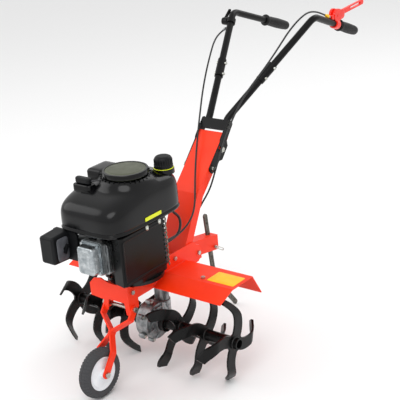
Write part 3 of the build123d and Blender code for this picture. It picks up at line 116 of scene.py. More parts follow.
# ---------------------------------------------------------------- finishes
@dataclass(frozen=True)
class Finish:
    """One real surface: its colour and how it varies, its gloss, and the texture that its making left.

    Sizes are in millimetres. The pattern's stretch is how many times longer its marks are along X, Y and Z.
    """

    name: str
    colour: str
    tone: str
    metallic: float = 0.0
    roughness: float = 0.5
    swing: float = 0.1
    patch: float = 40.0
    grain: float = 2.0
    depth: float = 0.05
    stretch: tuple[float, float, float] = (1.0, 1.0, 1.0)
    coat: float = 0.0
    specular: float = 0.5
    wear: str = ""
    wear_share: float = 0.0
    wear_patch: float = 12.0
    wear_metallic: float = 0.0

    def material(self) -> bpy.types.Material:
        """Build the procedural material once, and return the same one after that."""
        known = bpy.data.materials.get(self.name)
        if known:
            return known
        made = bpy.data.materials.new(self.name)
        made.use_nodes = True
        tree = made.node_tree
        tree.nodes.clear()
        where = add_node(tree, "TexCoord").outputs["Object"]
        along = add_node(tree, "Mapping", {"Vector": where, "Scale": tuple(1 / s for s in self.stretch)})
        patches = add_node(tree, "TexNoise", {"Vector": where, "Scale": 1000 / self.patch, "Detail": 4.0,
                                              "Roughness": 0.55})
        grain = add_node(tree, "TexNoise", {"Vector": along.outputs[0], "Scale": 1000 / self.grain,
                                            "Detail": 3.0, "Roughness": 0.6})
        tone = add_node(tree, "MapRange", {"Value": patches.outputs["Fac"], "From Min": 0.35,
                                           "From Max": 0.65})
        colour = add_node(tree, "Mix", {"Factor": tone.outputs[0], 6: linear(self.colour),
                                        7: linear(self.tone)}, data_type="RGBA")
        gloss = add_node(tree, "MapRange", {"Value": patches.outputs["Fac"], "From Min": 0.3,
                                            "From Max": 0.7, "To Min": max(self.roughness - self.swing, 0.02),
                                            "To Max": self.roughness + self.swing})
        bump = add_node(tree, "Bump", {"Height": grain.outputs["Fac"], "Strength": 1.0,
                                       "Distance": self.depth / 1000})
        shader = add_node(tree, "BsdfPrincipled", {"Normal": bump.outputs[0], "Metallic": self.metallic,
                                                   "Coat Weight": self.coat, "Coat Roughness": 0.05,
                                                   "Specular IOR Level": self.specular})
        out_colour, out_gloss = colour.outputs[2], gloss.outputs[0]
        if self.wear:
            scuffs = add_node(tree, "TexNoise", {"Vector": along.outputs[0],
                                                 "Scale": 1000 / self.wear_patch, "Detail": 8.0,
                                                 "Roughness": 0.7})
            edge = 0.5 + 0.32 * (1 - 2 * self.wear_share)
            mask = add_node(tree, "MapRange", {"Value": scuffs.outputs["Fac"], "From Min": edge - 0.02,
                                               "From Max": edge + 0.05})
            out_colour = add_node(tree, "Mix", {"Factor": mask.outputs[0], 6: out_colour,
                                                7: linear(self.wear)}, data_type="RGBA").outputs[2]
            out_gloss = add_node(tree, "Mix", {"Factor": mask.outputs[0], 2: out_gloss, 3: 0.42}).outputs[0]
            if self.wear_metallic:
                bare = add_node(tree, "Math", {0: mask.outputs[0], 1: self.wear_metallic},
                                operation="MULTIPLY")
                tree.links.new(bare.outputs[0], shader.inputs["Metallic"])
        tree.links.new(out_colour, shader.inputs["Base Color"])
        tree.links.new(out_gloss, shader.inputs["Roughness"])
        add_node(tree, "OutputMaterial", {"Surface": shader.outputs[0]})
        return made

    def dress(self, *nodes: str) -> None:
        """Give this finish to pieces of the frame.

        Args:
            nodes: the names of the pieces.
        """
        made = self.material()
        for name in nodes:
            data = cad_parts[name].data
            data.materials.clear()
            data.materials.append(made)


# Powder coat: a thick, even, glossy film with a faint orange peel.
POWDER_COAT = Finish("orange_powder_coat", "FF3606", "F83004", roughness=0.44, swing=0.05, patch=90, grain=2.6,
                     depth=0.025, specular=0.35)
# Air-dried black enamel on tube and folded sheet, slightly thin on its edges.
BLACK_ENAMEL = Finish("black_enamel", "060606", "0B0B0C", roughness=0.34, swing=0.08, patch=60, grain=1.8,
                      depth=0.03, specular=0.2)
# Dipped black paint on forged tines, rubbed to bare steel in small flecks.
TINE_PAINT = Finish("dipped_tine_paint", "060606", "0E0D0D", roughness=0.34, swing=0.12, patch=24, grain=1.6,
                    depth=0.06, specular=0.22, wear="7A766E", wear_share=0.04, wear_patch=9, wear_metallic=0.9)
# Zinc plate: bright grey with a faint yellow passivation in patches.
ZINC_PLATE = Finish("zinc_plated_steel", "C9CBC9", "B3B2A4", metallic=1.0, roughness=0.28, swing=0.1, patch=5,
                    grain=0.8, depth=0.01)
# Ground and turned steel: fine marks round the shaft.
TURNED_STEEL = Finish("turned_steel", "B4B6B8", "9C9EA1", metallic=1.0, roughness=0.3, swing=0.08, patch=12,
                      grain=0.5, depth=0.01, stretch=(0.3, 3.0, 3.0))
# Sand-cast aluminium: a pebbly skin, duller in the hollows.
CAST_ALUMINIUM = Finish("sand_cast_aluminium", "A9ACAD", "7F8284", metallic=1.0, roughness=0.46, swing=0.1,
                        patch=16, grain=1.3, depth=0.12)
# Die-cast rocker cover: smoother skin that throws broad highlights.
DIE_CAST = Finish("die_cast_aluminium", "C3C8CA", "8B9296", metallic=1.0, roughness=0.3, swing=0.1, patch=22,
                  grain=2.4, depth=0.08)
# Engine paint over a casting, worn bright on some ribs.
ENGINE_PAINT = Finish("black_engine_paint", "080808", "12120F", roughness=0.34, swing=0.1, patch=20, grain=1.4,
                      depth=0.08, specular=0.35, wear="A79B7C", wear_share=0.13, wear_patch=16,
                      wear_metallic=0.9)
# The same casting where it was never painted, stained by oil.
BARE_CASTING = Finish("bare_casting", "B4AFA0", "5A5040", metallic=0.9, roughness=0.42, swing=0.12, patch=7,
                      grain=1.6, depth=0.2)
# Injection-moulded ABS cowl: deep gloss.
GLOSS_ABS = Finish("gloss_black_abs", "030304", "060608", roughness=0.19, swing=0.05, patch=70, grain=6.0,
                   depth=0.02, specular=0.3)
# Satin ABS of the starter's plate, an olive grey.
OLIVE_ABS = Finish("olive_abs", "474B35", "3C402B", roughness=0.38, swing=0.06, patch=30, grain=1.2, depth=0.03)
# Spark-eroded grain on polypropylene boxes.
GRAINED_PP = Finish("grained_polypropylene", "0C0D0F", "121315", roughness=0.46, swing=0.08, patch=30,
                    grain=0.9, depth=0.06, specular=0.2)
# The same plastic in grey: flat, with the grain only just there.
GREY_PP = Finish("grey_polypropylene", "4A4B50", "55565B", roughness=0.48, swing=0.06, patch=25, grain=0.9,
                 depth=0.05)
# Moulded PVC grip, slightly greasy sheen.
GRIP_PVC = Finish("grip_pvc", "060607", "0D0D0E", roughness=0.5, swing=0.08, patch=14, grain=0.8, depth=0.08,
                  specular=0.35)
# Vulcanised tread rubber with a dusty bloom.
TYRE_RUBBER = Finish("tyre_rubber", "0B0B0C", "171717", roughness=0.7, swing=0.1, patch=18, grain=1.0,
                     depth=0.1, specular=0.35)
# Fabric-backed belt rubber: dead matt.
BELT_RUBBER = Finish("belt_rubber", "1A1A1A", "262423", roughness=0.8, swing=0.08, patch=8, grain=0.8,
                     depth=0.1)
# Extruded PVC sleeve: smooth, with one long highlight.
CABLE_SLEEVE = Finish("cable_sleeve_pvc", "0B0B0C", "131314", roughness=0.38, swing=0.06, patch=20, grain=1.5,
                      depth=0.01)
# White moulded nylon of the wheel: satin, a shade blue.
WHITE_NYLON = Finish("white_nylon", "F1F3F6", "E4E7EC", roughness=0.38, swing=0.06, patch=26, grain=1.2,
                     depth=0.02)
# Moulded ABS of the controls: clear red with a lacquer-like gloss.
RED_ABS = Finish("red_abs", "FF2A12", "EE1E0A", roughness=0.3, swing=0.05, patch=24, grain=1.4, depth=0.02,
                 coat=0.2)
# Machined gear bronze: warm metal with soft highlights.
BRONZE = Finish("gear_bronze", "A9763A", "8F6030", metallic=1.0, roughness=0.32, swing=0.08, patch=10,
                grain=0.7, depth=0.02)
# Plain vinyl patches, with nothing printed on them.
YELLOW_VINYL = Finish("yellow_vinyl", "FFC90A", "FABF00", roughness=0.42, swing=0.04, patch=20, grain=2.0,
                      depth=0.01)
LIME_VINYL = Finish("lime_vinyl", "E6F01E", "DCE614", roughness=0.42, swing=0.04, patch=20, grain=2.0,
                    depth=0.01)
# Weathered galvanised bar: dull grey-brown metal in small patches.
GALVANISED = Finish("galvanised_bar", "6C6961", "4B4943", metallic=0.7, roughness=0.5, swing=0.1, patch=9,
                    grain=1.2, depth=0.06)
# Braided nylon rope: matt, its weave seen as a fine roughness.
STARTER_ROPE = Finish("braided_starter_rope", "2A2A2C", "3B3B3D", roughness=0.8, swing=0.08, patch=3,
                      grain=0.6, depth=0.15)
# Weld beads under the orange coat: the same gloss over a lumpy skin.
WELD_METAL = Finish("painted_weld", "F53408", "EA2E05", roughness=0.4, swing=0.05, patch=12, grain=1.5,
                    depth=0.12)
# Weld beads under thin black paint.
TINE_WELD = Finish("tine_weld", "121212", "1E1C1A", roughness=0.5, swing=0.1, patch=8, grain=1.2, depth=0.15)


# ---------------------------------------------------------------- surfaces
@dataclass
class Shells:
    """Closed surfaces that together make one piece."""

    points: list[np.ndarray] = field(default_factory=list)
    faces: list[list[list[int]]] = field(default_factory=list)
    count: int = 0

    def grid(self, net: np.ndarray, round_rows: bool = True, round_columns: bool = False) -> "Shells":
        """Add a closed surface from a net of points.

        Each cell of the net is a face. A net that is round along its rows only is closed at both ends by
        a fan about the middle of the end row. Its faces are turned outwards by the sign of its volume,
        which is the sum of each face's corner products.

        Args:
            net: positions in millimetres from the tine axle, rows by columns by three.
            round_rows: the last column joins the first.
            round_columns: the last row joins the first.

        Returns:
            These shells, so that calls chain.
        """
        rows, columns = net.shape[:2]
        index = np.arange(rows * columns).reshape(rows, columns)
        body = index if not round_rows else np.concatenate([index, index[:, :1]], axis=1)
        body = body if not round_columns else np.concatenate([body, body[:1]], axis=0)
        quads = np.stack([body[:-1, :-1], body[:-1, 1:], body[1:, 1:], body[1:, :-1]], -1).reshape(-1, 4)
        points = net.reshape(-1, 3)
        fans = np.zeros((0, 3), int)
        if not round_columns:
            ends = np.stack([net[0].mean(0), net[-1].mean(0)])
            points = np.concatenate([points, ends])
            first, last = rows * columns, rows * columns + 1
            ring, top = index[0], index[-1]
            fans = np.concatenate([
                np.stack([np.full(columns, first), np.roll(ring, -1), ring], -1),
                np.stack([np.full(columns, last), top, np.roll(top, -1)], -1)])
        a, b, c, d = (points[quads[:, i]] for i in range(4))
        volume = (np.cross(a, b) * c).sum() + (np.cross(a, c) * d).sum()
        if len(fans):
            e, f, g = (points[fans[:, i]] for i in range(3))
            volume += (np.cross(e, f) * g).sum()
        if volume < 0:
            quads, fans = quads[:, ::-1], fans[:, ::-1]
        self.points.append(points)
        self.faces.append((quads + self.count).tolist() + (fans + self.count).tolist())
        self.count += len(points)
        return self

    def build(self, name: str, finish: Finish, body: str | None, slot: str, *covers: str,
              crease: float = 35.0) -> bpy.types.Object:
        """Make the object, dress it and let it ride on its body.

        Args:
            name: the piece's name.
            finish: its surface.
            body: the body that it moves with, or None to leave it on no body.
            slot: the record's material slot; not used.
            covers: the frame's nodes that it stands for.
            crease: the angle in degrees past which an edge stays sharp.

        Returns:
            The finished object.
        """
        mesh = bpy.data.meshes.new(name)
        mesh.from_pydata(place(np.concatenate(self.points)), [], sum(self.faces, []))
        mesh.update()
        mesh.polygons.foreach_set("use_smooth", np.ones(len(mesh.polygons), bool))
        mesh.set_sharp_from_angle(angle=math.radians(crease))
        mesh.materials.append(finish.material())
        made = bpy.data.objects.new(name, mesh)
        bpy.context.scene.collection.objects.link(made)
        if body:
            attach(made, body)
        if covers:
            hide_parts(*covers)
        log.info("%s: %d faces", name, len(mesh.polygons))
        return made


def basis(direction: np.ndarray) -> tuple[np.ndarray, np.ndarray, np.ndarray]:
    """Give a unit axis and two units square to it.

    Args:
        direction: any vector along the axis.

    Returns:
        The axis, then two directions across it.
    """
    axis = np.asarray(direction, float) / np.linalg.norm(direction)
    aid = np.array([0.0, 0.0, 1.0]) if abs(axis[2]) < 0.9 else np.array([1.0, 0.0, 0.0])
    first = np.cross(axis, aid)
    first /= np.linalg.norm(first)
    return axis, first, np.cross(axis, first)


def turned(profile: np.ndarray, centre: tuple, direction: tuple, turns: int = 96,
           swell: np.ndarray | float = 0.0) -> np.ndarray:
    """Turn a profile about an axis.

    A point at angle a is the centre, plus its height along the axis, plus its radius times the cosine
    and the sine of a along the two directions across the axis.

    Args:
        profile: radius and height of each profile point, in millimetres.
        centre: where the height is nought.
        direction: the axis.
        turns: points round the axis.
        swell: change of radius, for each profile point and each angle.

    Returns:
        A net of profile points by turns.
    """
    axis, first, second = basis(direction)
    angle = np.linspace(0, 2 * np.pi, turns, endpoint=False)
    radius = profile[:, :1] + swell
    radius = np.broadcast_to(radius, (len(profile), turns))[..., None]
    spin = np.cos(angle)[:, None] * first + np.sin(angle)[:, None] * second
    return np.asarray(centre, float) + profile[:, 1, None, None] * axis + radius * spin[None]


def piped(path: np.ndarray, radius: np.ndarray | float, sides: int = 16, twist: float = 0.0,
          lobes: int = 0, relief: float = 0.0) -> np.ndarray:
    """Carry a round section along a path that keeps to the fore-and-aft direction.

    At each station the section stands square to the path: one of its directions is the path's direction
    crossed with X, and the other is the path's direction crossed with that. Lobes raise the radius by
    the relief times the cosine of the lobes times the angle plus the twist times the run so far.

    Args:
        path: stations in millimetres.
        radius: of the section, at each station or for all.
        sides: points round the section.
        twist: turn of the lobes, in radians per millimetre.
        lobes: strands round the section.
        relief: height of the strands.

    Returns:
        A net of stations by sides.
    """
    run = np.gradient(path, axis=0)
    run /= np.linalg.norm(run, axis=1, keepdims=True)
    reach = np.concatenate([[0.0], np.cumsum(np.linalg.norm(np.diff(path, axis=0), axis=1))])
    first = np.cross(run, np.array([1.0, 0.02, 0.03]))
    first /= np.linalg.norm(first, axis=1, keepdims=True)
    second = np.cross(run, first)
    angle = np.linspace(0, 2 * np.pi, sides, endpoint=False)
    thick = np.broadcast_to(np.asarray(radius, float), (len(path),))[:, None]
    thick = thick + relief * np.cos(lobes * angle[None] + twist * reach[:, None])
    return (path[:, None] + thick[..., None] * (np.cos(angle)[None, :, None] * first[:, None]
                                                + np.sin(angle)[None, :, None] * second[:, None]))


def slab(centre: tuple, half_u: float, half_v: float, height: float, u: tuple, v: tuple, lift: float = 0.0,
         power: float = 8.0, around: int = 64) -> np.ndarray:
    """Make a thin pad with rounded corners and a softened rim.

    Its outline is a superellipse: half the width times the cosine, and half the length times the sine,
    each raised to two over the power with its sign kept. Five rings of it rise from the face below to
    the face above, and the outer ones are drawn in by the rim.

    Args:
        centre: middle of the underside.
        half_u: half of its size along u.
        half_v: half of its size along v.
        height: thickness, measured along u crossed with v.
        u: direction of its width.
        v: direction of its length.
        lift: extra height of the middle, for a crowned pad.
        power: squareness of the corners.
        around: points round the outline.

    Returns:
        A net of rings by points.
    """
    u, v = (np.asarray(w, float) / np.linalg.norm(w) for w in (u, v))
    up = np.cross(u, v)
    angle = np.linspace(0, 2 * np.pi, around, endpoint=False)
    bend = 2 / power
    across = np.sign(np.cos(angle)) * np.abs(np.cos(angle)) ** bend
    along = np.sign(np.sin(angle)) * np.abs(np.sin(angle)) ** bend
    rim = min(height * 0.4, 0.25 * min(half_u, half_v))
    inset = np.array([rim, 0.0, 0.0, rim * 0.4, rim, min(half_u, half_v) * 0.6])
    level = np.array([0.0, rim * 0.5, height - rim, height - rim * 0.3, height, height + lift])
    wide, long = (half_u - inset)[:, None] * across, (half_v - inset)[:, None] * along
    return (np.asarray(centre, float) + wide[..., None] * u + long[..., None] * v
            + level[:, None, None] * up)


def smooth_route(points: list[tuple], name: str) -> np.ndarray:
    """Read stations from a smooth curve whose control points are a cable's route.

    Args:
        points: the route in millimetres.
        name: for the curve that is made and removed.

    Returns:
        Stations along the curve, in millimetres.
    """
    curve = bpy.data.curves.new(name, "CURVE")
    curve.dimensions = "3D"
    spline = curve.splines.new("NURBS")
    spline.points.add(len(points) - 1)
    spline.points.foreach_set("co", np.c_[np.array(points, float), np.ones(len(points))].ravel())
    spline.order_u = 3
    spline.use_endpoint_u = True
    spline.resolution_u = 12
    holder = bpy.data.objects.new(name, curve)
    bpy.context.scene.collection.objects.link(holder)
    mesh = bpy.data.meshes.new_from_object(holder)
    line = np.zeros(len(mesh.vertices) * 3)
    mesh.vertices.foreach_get("co", line)
    bpy.data.objects.remove(holder)
    bpy.data.curves.remove(curve)
    bpy.data.meshes.remove(mesh)
    return line.reshape(-1, 3)


def bead(path: np.ndarray, radius: float) -> np.ndarray:
    """A weld bead: a pipe whose radius ripples by a sixth each two and a half millimetres of its run."""
    reach = np.concatenate([[0.0], np.cumsum(np.linalg.norm(np.diff(path, axis=0), axis=1))])
    ripple = radius * (1 + np.cos(2 * np.pi * reach / 2.5) / 6)
    return piped(path, ripple, sides=10)


def straight(start: tuple, end: tuple, stations: int) -> np.ndarray:
    """Evenly spaced stations from start to end."""
    share = np.linspace(0, 1, stations)[:, None]
    return np.asarray(start, float) * (1 - share) + np.asarray(end, float) * share


def circle(centre: tuple, direction: tuple, radius: float, stations: int) -> np.ndarray:
    """Stations once round a circle, with the last a little short of the first."""
    _, first, second = basis(np.asarray(direction, float))
    angle = np.linspace(0, 2 * np.pi * (1 - 1 / stations), stations)[:, None]
    return np.asarray(centre, float) + radius * (np.cos(angle) * first + np.sin(angle) * second)


# ---------------------------------------------------------------- sub-assemblies
@dataclass
class Chassis:
    """Sheet frame, fenders and stake, with the marks that welding left."""

    fender_top: float = 290.0
    deck_top: float = 302.0
    rail_half: float = 49.8
    column_half: float = 47.0
    socket_half: float = 20.6

    def dress(self) -> None:
        """Paint the sheet parts and plate the bolts."""
        POWDER_COAT.dress("deck", "front_plate", "steering_column", "side_plates", "fender_left",
                          "fender_right", "stake_socket")
        ZINC_PLATE.dress("frame_bolts", "stake_pin")
        GALVANISED.dress("drag_stake")

    def welds(self) -> None:
        """Run beads along the column's foot, the fenders' roots and the socket's root."""
        seams = Shells()
        root, foot = self.fender_top + 0.6, self.deck_top + 1.2
        for side in Side:
            rail, column, socket = (side.value * half for half in (
                self.rail_half, self.column_half, self.socket_half))
            seams.grid(bead(straight((rail, 18, root), (rail, 112, root), 120), 1.7))
            seams.grid(bead(straight((column, 119, foot), (column, 142, foot), 40), 1.6))
            seams.grid(bead(straight((socket, 200, 266), (socket, 196, 309), 60), 1.6))
        seams.grid(bead(straight((-44, 107, self.deck_top + 1), (44, 107, self.deck_top + 1), 110), 1.8))
        seams.build("frame_welds", WELD_METAL, "frame", "orange_paint")

    def patches(self) -> None:
        """Lay the plain yellow patch on the left fender's flat top."""
        spot = (236, 66, self.fender_top + 0.1)
        patch = Shells().grid(slab(spot, 47, 31, 0.35, (1, 0, 0), (0, 1, 0), power=26))
        patch.build("fender_patch", YELLOW_VINYL, "frame", "orange_paint")

    def make(self) -> None:
        """Build and dress the whole chassis."""
        self.dress()
        self.welds()
        self.patches()


@dataclass
class Gearbox:
    """Cast worm gearbox: its halves, shafts and the ribs and plugs on its skin."""

    axle_z: float = 132.0
    rib_radius: float = 2.2
    rib_root: tuple[float, float] = (31.5, 33.0)
    rib_tip: tuple[float, float] = (23.0, 54.0)
    ribs_a_face: int = 8

    def dress(self) -> None:
        """Give the castings, gears and shafts their metals."""
        CAST_ALUMINIUM.dress("gearbox_left_half", "gearbox_right_half")
        TURNED_STEEL.dress("gearbox_bearings", "worm_shaft", "tine_shaft", "driven_pulley", "drive_pulley",
                           "crankshaft", "idler_pulley")
        BRONZE.dress("worm_wheel")
        BELT_RUBBER.dress("drive_belt")
        ZINC_PLATE.dress("idler_arm", "hub_pins")

    def ribs(self) -> None:
        """Cast stiffening ribs down both faces of the drum, and a plug at its foot.

        A rib runs straight from its root to its tip, each given by its distance from the middle plane
        and from the axle, and the ribs stand evenly round the axle.
        """
        ribs = Shells()
        for side in Side:
            for turn in range(self.ribs_a_face):
                a = 2 * math.pi * (turn + 0.5) / self.ribs_a_face
                root, tip = ((side.value * x, reach * math.cos(a), self.axle_z + reach * math.sin(a))
                             for x, reach in (self.rib_root, self.rib_tip))
                ribs.grid(piped(straight(root, tip, 10), self.rib_radius, sides=12))
        ribs.build("gearbox_ribs", CAST_ALUMINIUM, "frame", "cast_aluminium")
        profile = np.array([[7.5, -60.0], [8.0, -59.0], [8.0, -55.5], [7.4, -54.6]])
        hexed = 0.5 * np.cos(6 * np.linspace(0, 2 * np.pi, 48, endpoint=False))
        plug = Shells().grid(turned(profile, (0, 0, self.axle_z), (0, -0.25, 1), 48, hexed))
        plug.build("drain_plug", ZINC_PLATE, "frame", "zinc_steel")

    def make(self) -> None:
        """Build and dress the gearbox."""
        self.dress()
        self.ribs()


@dataclass
class Rotor:
    """Hubs and tine stars, with the welds round each star."""

    axle_z: float = 132.0
    hub: float = 17.0
    stars: tuple[float, ...] = (106.0, 200.0, 301.0)
    root: float = 3.6
    bead: float = 1.9

    def dress(self) -> None:
        """Paint hubs and stars."""
        names = [f"tine_star_{side}_{rank}" for side in ("left", "right")
                 for rank in ("inner", "middle", "outer")]
        TINE_PAINT.dress("hub_left", "hub_right", *names)

    def welds(self) -> None:
        """Ring both faces of each star's root with a bead.

        A bead is a closed ring about the hub. Its section is a circle across the ring's line, and the
        circle's radius swells by a seventh twenty-two times a turn.
        """
        rings = Shells()
        angle = np.linspace(0, 2 * np.pi, 64, endpoint=False)
        section = np.linspace(0, 2 * np.pi, 8, endpoint=False)
        size = (self.bead * (1 + np.cos(22 * angle) / 7))[:, None, None]
        sideways = np.sin(section)[None, :, None] * np.array([1.0, 0.0, 0.0])
        for x in (side.value * star + face for side in Side for star in self.stars
                  for face in (-self.root, self.root)):
            centre = np.array([x, 0.0, self.axle_z])
            line = circle(tuple(centre), (1, 0.001, 0), self.hub + 0.7, len(angle))
            out = (line - centre) / np.linalg.norm(line - centre, axis=1, keepdims=True)
            rings.grid(line[:, None] + size * (np.cos(section)[None, :, None] * out[:, None] + sideways),
                       round_columns=True)
        rings.build("star_welds", TINE_WELD, "rotor", "tine_paint")

    def make(self) -> None:
        """Build and dress the rotor."""
        self.dress()
        self.welds()


@dataclass
class TransportWheel:
    """Folding front wheel: a tyre with blocks, its white disc and the fork."""

    centre: tuple[float, float] = (-250.5, 75.0)
    radius: float = 75.0
    half: float = 18.0
    blocks: int = 44
    groove: float = 2.2
    fork_pivot: tuple[float, float] = (-135.0, 238.0)
    bar: float = 24.0
    waist: tuple[float, float] = (98.0, 132.0)

    def tyre(self) -> None:
        """Make the tyre as one closed ring.

        The section is a rounded crown on straight walls. Round the crown the radius drops by the groove's
        depth where a raised cosine of the angle times the number of blocks, shifted with distance from
        the middle to make arrows, falls below nought.
        """
        bow = np.linspace(-1, 1, 33)
        crown = np.stack([self.radius - 8 * np.abs(bow) ** 2.6, self.half * bow], -1)
        wall = np.array([[61.0, 18.0], [56.0, 17.6], [52.5, 15.8], [50.0, 13.0]])
        inside = np.array([[50.0, 6.0], [50.0, 0.0], [50.0, -6.0]])
        profile = np.concatenate([crown, wall, inside, wall[::-1] * [1, -1]])
        angle = np.linspace(0, 2 * np.pi, 528, endpoint=False)
        width = profile[:, 1:2] / self.half
        on_tread = np.clip((profile[:, :1] - 63) / 3.0, 0, 1)
        phase = self.blocks * angle[None] + 2.6 * np.abs(width)
        gap = 1 / (1 + np.exp(-9 * (np.cos(phase) - 0.45)))
        centre_line = np.exp(-(width / 0.1) ** 2)
        side_line = np.exp(-((np.abs(width) - 0.55) / 0.08) ** 2)
        cut = np.maximum(np.maximum(gap, centre_line), 0.8 * side_line)
        net = turned(profile, (0, *self.centre), (1, 0, 0), 528, -self.groove * cut * on_tread)
        tyre = Shells().grid(net, round_columns=True)
        tyre.build("tread_tyre", TYRE_RUBBER, "front_wheel", "tyre_rubber", "tyre")

    def ribs(self) -> None:
        """Raise six low ribs on each face of the disc, from its hub to its rim."""
        ribs = Shells()
        for side in Side:
            for turn in range(6):
                a = math.radians(60 * turn + 15)
                root, tip = ((side.value * x, self.centre[0] + reach * math.cos(a),
                              self.centre[1] + reach * math.sin(a)) for x, reach in ((13.0, 16), (9.0, 40)))
                ribs.grid(piped(straight(root, tip, 8), 2.2, sides=10))
        ribs.build("wheel_ribs", WHITE_NYLON, "front_wheel", "wheel_white")

    def dress(self) -> None:
        """Give the disc, fork and bolts their finishes."""
        WHITE_NYLON.dress("wheel_disc")
        POWDER_COAT.dress("wheel_fork")
        ZINC_PLATE.dress("fork_bolts")

    def welds(self) -> None:
        """Join the fork's two bars at their waist with a bead on each face."""
        axle, pivot = np.array([0.0, *self.centre]), np.array([0.0, *self.fork_pivot])
        run = (pivot - axle) / np.linalg.norm(pivot - axle)
        square = np.array([0.0, -run[2], run[1]])
        low, high = self.waist
        seams = Shells()
        for face in (-1, 1):
            line = axle + square * face * self.bar / 2
            seams.grid(bead(straight(line + run * low, line + run * high, 50), 2.0))
        seams.build("fork_welds", WELD_METAL, "front_fork", "orange_paint")

    def make(self) -> None:
        """Build and dress the wheel and its fork."""
        self.tyre()
        self.ribs()
        self.dress()
        self.welds()


@dataclass
class Engine:
    """Vertical-shaft engine: gloss cowl, starter, filler, castings, air cleaner and muffler guard."""

    axis_y: float = -53.0
    cowl_half: tuple[float, float] = (117.5, 160.0)
    cowl_centre: tuple[float, float] = (-22.5, -65.0)
    cowl_low: float = 488.0
    cowl_wall: float = 3.0
    cap: tuple[float, float] = (45.0, 60.0)
    cap_heights: tuple[float, float] = (606.5, 641.0)
    flutes: int = 22
    louvres: int = 28
    guard_x: float = 94.6

    def dress(self) -> None:
        """Give the castings and plain covers their finishes."""
        ENGINE_PAINT.dress("crankcase")
        CAST_ALUMINIUM.dress("cylinder", "carburettor", "flywheel")
        DIE_CAST.dress("valve_cover")
        BLACK_ENAMEL.dress("muffler", "muffler_guard")
        OLIVE_ABS.dress("starter_housing")
        GRAINED_PP.dress("fuel_tank", "air_cleaner_base", "air_cleaner_cover", "starter_handle")
        CABLE_SLEEVE.dress("breather_hose", "spark_plug")

    def roof(self, x: np.ndarray, y: np.ndarray) -> np.ndarray:
        """Height of the cowl's roof in plan.

        A flat roof falls away forward with the distance to the power 1.4 and a little at both sides, and
        a logistic step lifts it to the starter's round boss.

        Args:
            x: across the machine.
            y: along the machine.

        Returns:
            Heights above the ground.
        """
        flat = 603.0 - 38.0 * np.clip((-55.0 - y) / 170.0, 0, 1) ** 1.4
        flat = flat - 7.0 * np.clip((np.abs(x + 22) - 55) / 63, 0, 1) ** 2
        boss = 1 / (1 + np.exp((np.hypot(x, y - self.axis_y) - 82.0) / 5.0))
        return flat + (615.5 - flat) * boss

    def cowl(self) -> None:
        """Make the cowl as a superquadric dome with a wall three millimetres thick.

        A share q of the way out from the middle, the roof stands at the pth root of one less q to the
        power p, as a share of its height above the rim. Near the rim the same rule is read the other
        way, from the height to q, so that the wall is evenly divided. The outline is a superellipse, the
        lip and the moulding line move the wall along its spoke by bells of the height, and the same net
        drawn in makes the inside.
        """
        power, corner = 6.5, 5.2
        half_way = 0.5 ** (1 / power)
        out = np.concatenate([np.linspace(0.01, half_way, 100, endpoint=False), np.zeros(64)])
        rise = np.concatenate([np.zeros(100), np.linspace(half_way, 0, 64)])
        rise[:100] = (1 - out[:100] ** power) ** (1 / power)
        out[100:] = (1 - rise[100:] ** power) ** (1 / power)
        spoke = np.linspace(0, 2 * np.pi, 300, endpoint=False)
        edge = np.stack([np.cos(spoke), np.sin(spoke)], -1)
        edge = np.sign(edge) * np.abs(edge) ** (2 / corner)
        centre, half = np.array(self.cowl_centre), np.array(self.cowl_half) - 2.0
        spread = out[:, None, None] * edge[None] * half
        top = self.roof(*np.moveaxis(centre + spread, -1, 0))
        height = self.cowl_low + (top - self.cowl_low) * rise[:, None]
        moulding = (1.9 * np.exp(-((height - self.cowl_low - 4) / 3.2) ** 2)
                    - 1.2 * np.exp(-((height - self.cowl_low - 12) / 1.4) ** 2))
        moulding = moulding * np.clip((out[:, None] - 0.9) / 0.05, 0, 1)
        outer = np.concatenate([centre + spread * (1 + moulding[..., None] / 140), height[..., None]], -1)
        ceiling = np.maximum(height - self.cowl_wall * rise[:, None] ** 4, self.cowl_low)
        inner = np.concatenate([centre + spread * (1 - self.cowl_wall / 120), ceiling[..., None]], -1)
        made = Shells().grid(np.concatenate([outer, inner[::-3]]))
        made.grid(slab((-97, -40, 588), 31, 42, 34, (1, 0, 0), (0, 1, 0), lift=0.6, power=9, around=96))
        made.grid(slab((-88, -134, 560), 33, 16, 40.2, (1, 0, 0), (0, 1, 0), power=5, around=96))
        collar = np.array([[20.0, 590.0], [31.0, 590.0], [30.6, 604.2], [29.4, 604.8], [20.0, 604.8]])
        made.grid(turned(collar, (*self.cap, 0), (0, 0, 1), 96))
        made.build("engine_cowl", GLOSS_ABS, "frame", "cowl_black", "shroud", crease=50)

    def starter_trim(self) -> None:
        """Ring the starter's plate, raise its centre disc and set small louvres round it."""
        ring = np.array([[59.5, 0.0], [64.6, 0.0], [66.0, -2.0], [66.0, -13.0], [61.0, -13.0], [59.5, -6.0]])
        trim = Shells().grid(turned(ring, (0, self.axis_y, 631.6), (0, 0, 1), 128), round_columns=True)
        for turn in range(self.louvres):
            a = 2 * math.pi * turn / self.louvres
            spot = (71.0 * math.cos(a), self.axis_y + 71.0 * math.sin(a), 613.5)
            trim.grid(slab(spot, 3.6, 1.6, 3.2, (math.cos(a), math.sin(a), 0), (-math.sin(a), math.cos(a), 0),
                           around=20, power=4))
        trim.build("starter_ring", GLOSS_ABS, "frame", "cowl_black")
        disc = np.array([[1.0, -4.0], [51.0, -4.0], [52.0, -1.2], [50.5, 0.0], [47.0, 0.25], [1.0, 0.9]])
        Shells().grid(turned(disc, (0, self.axis_y, 631.4), (0, 0, 1), 96)).build(
            "starter_plate", OLIVE_ABS, "frame", "starter_olive")

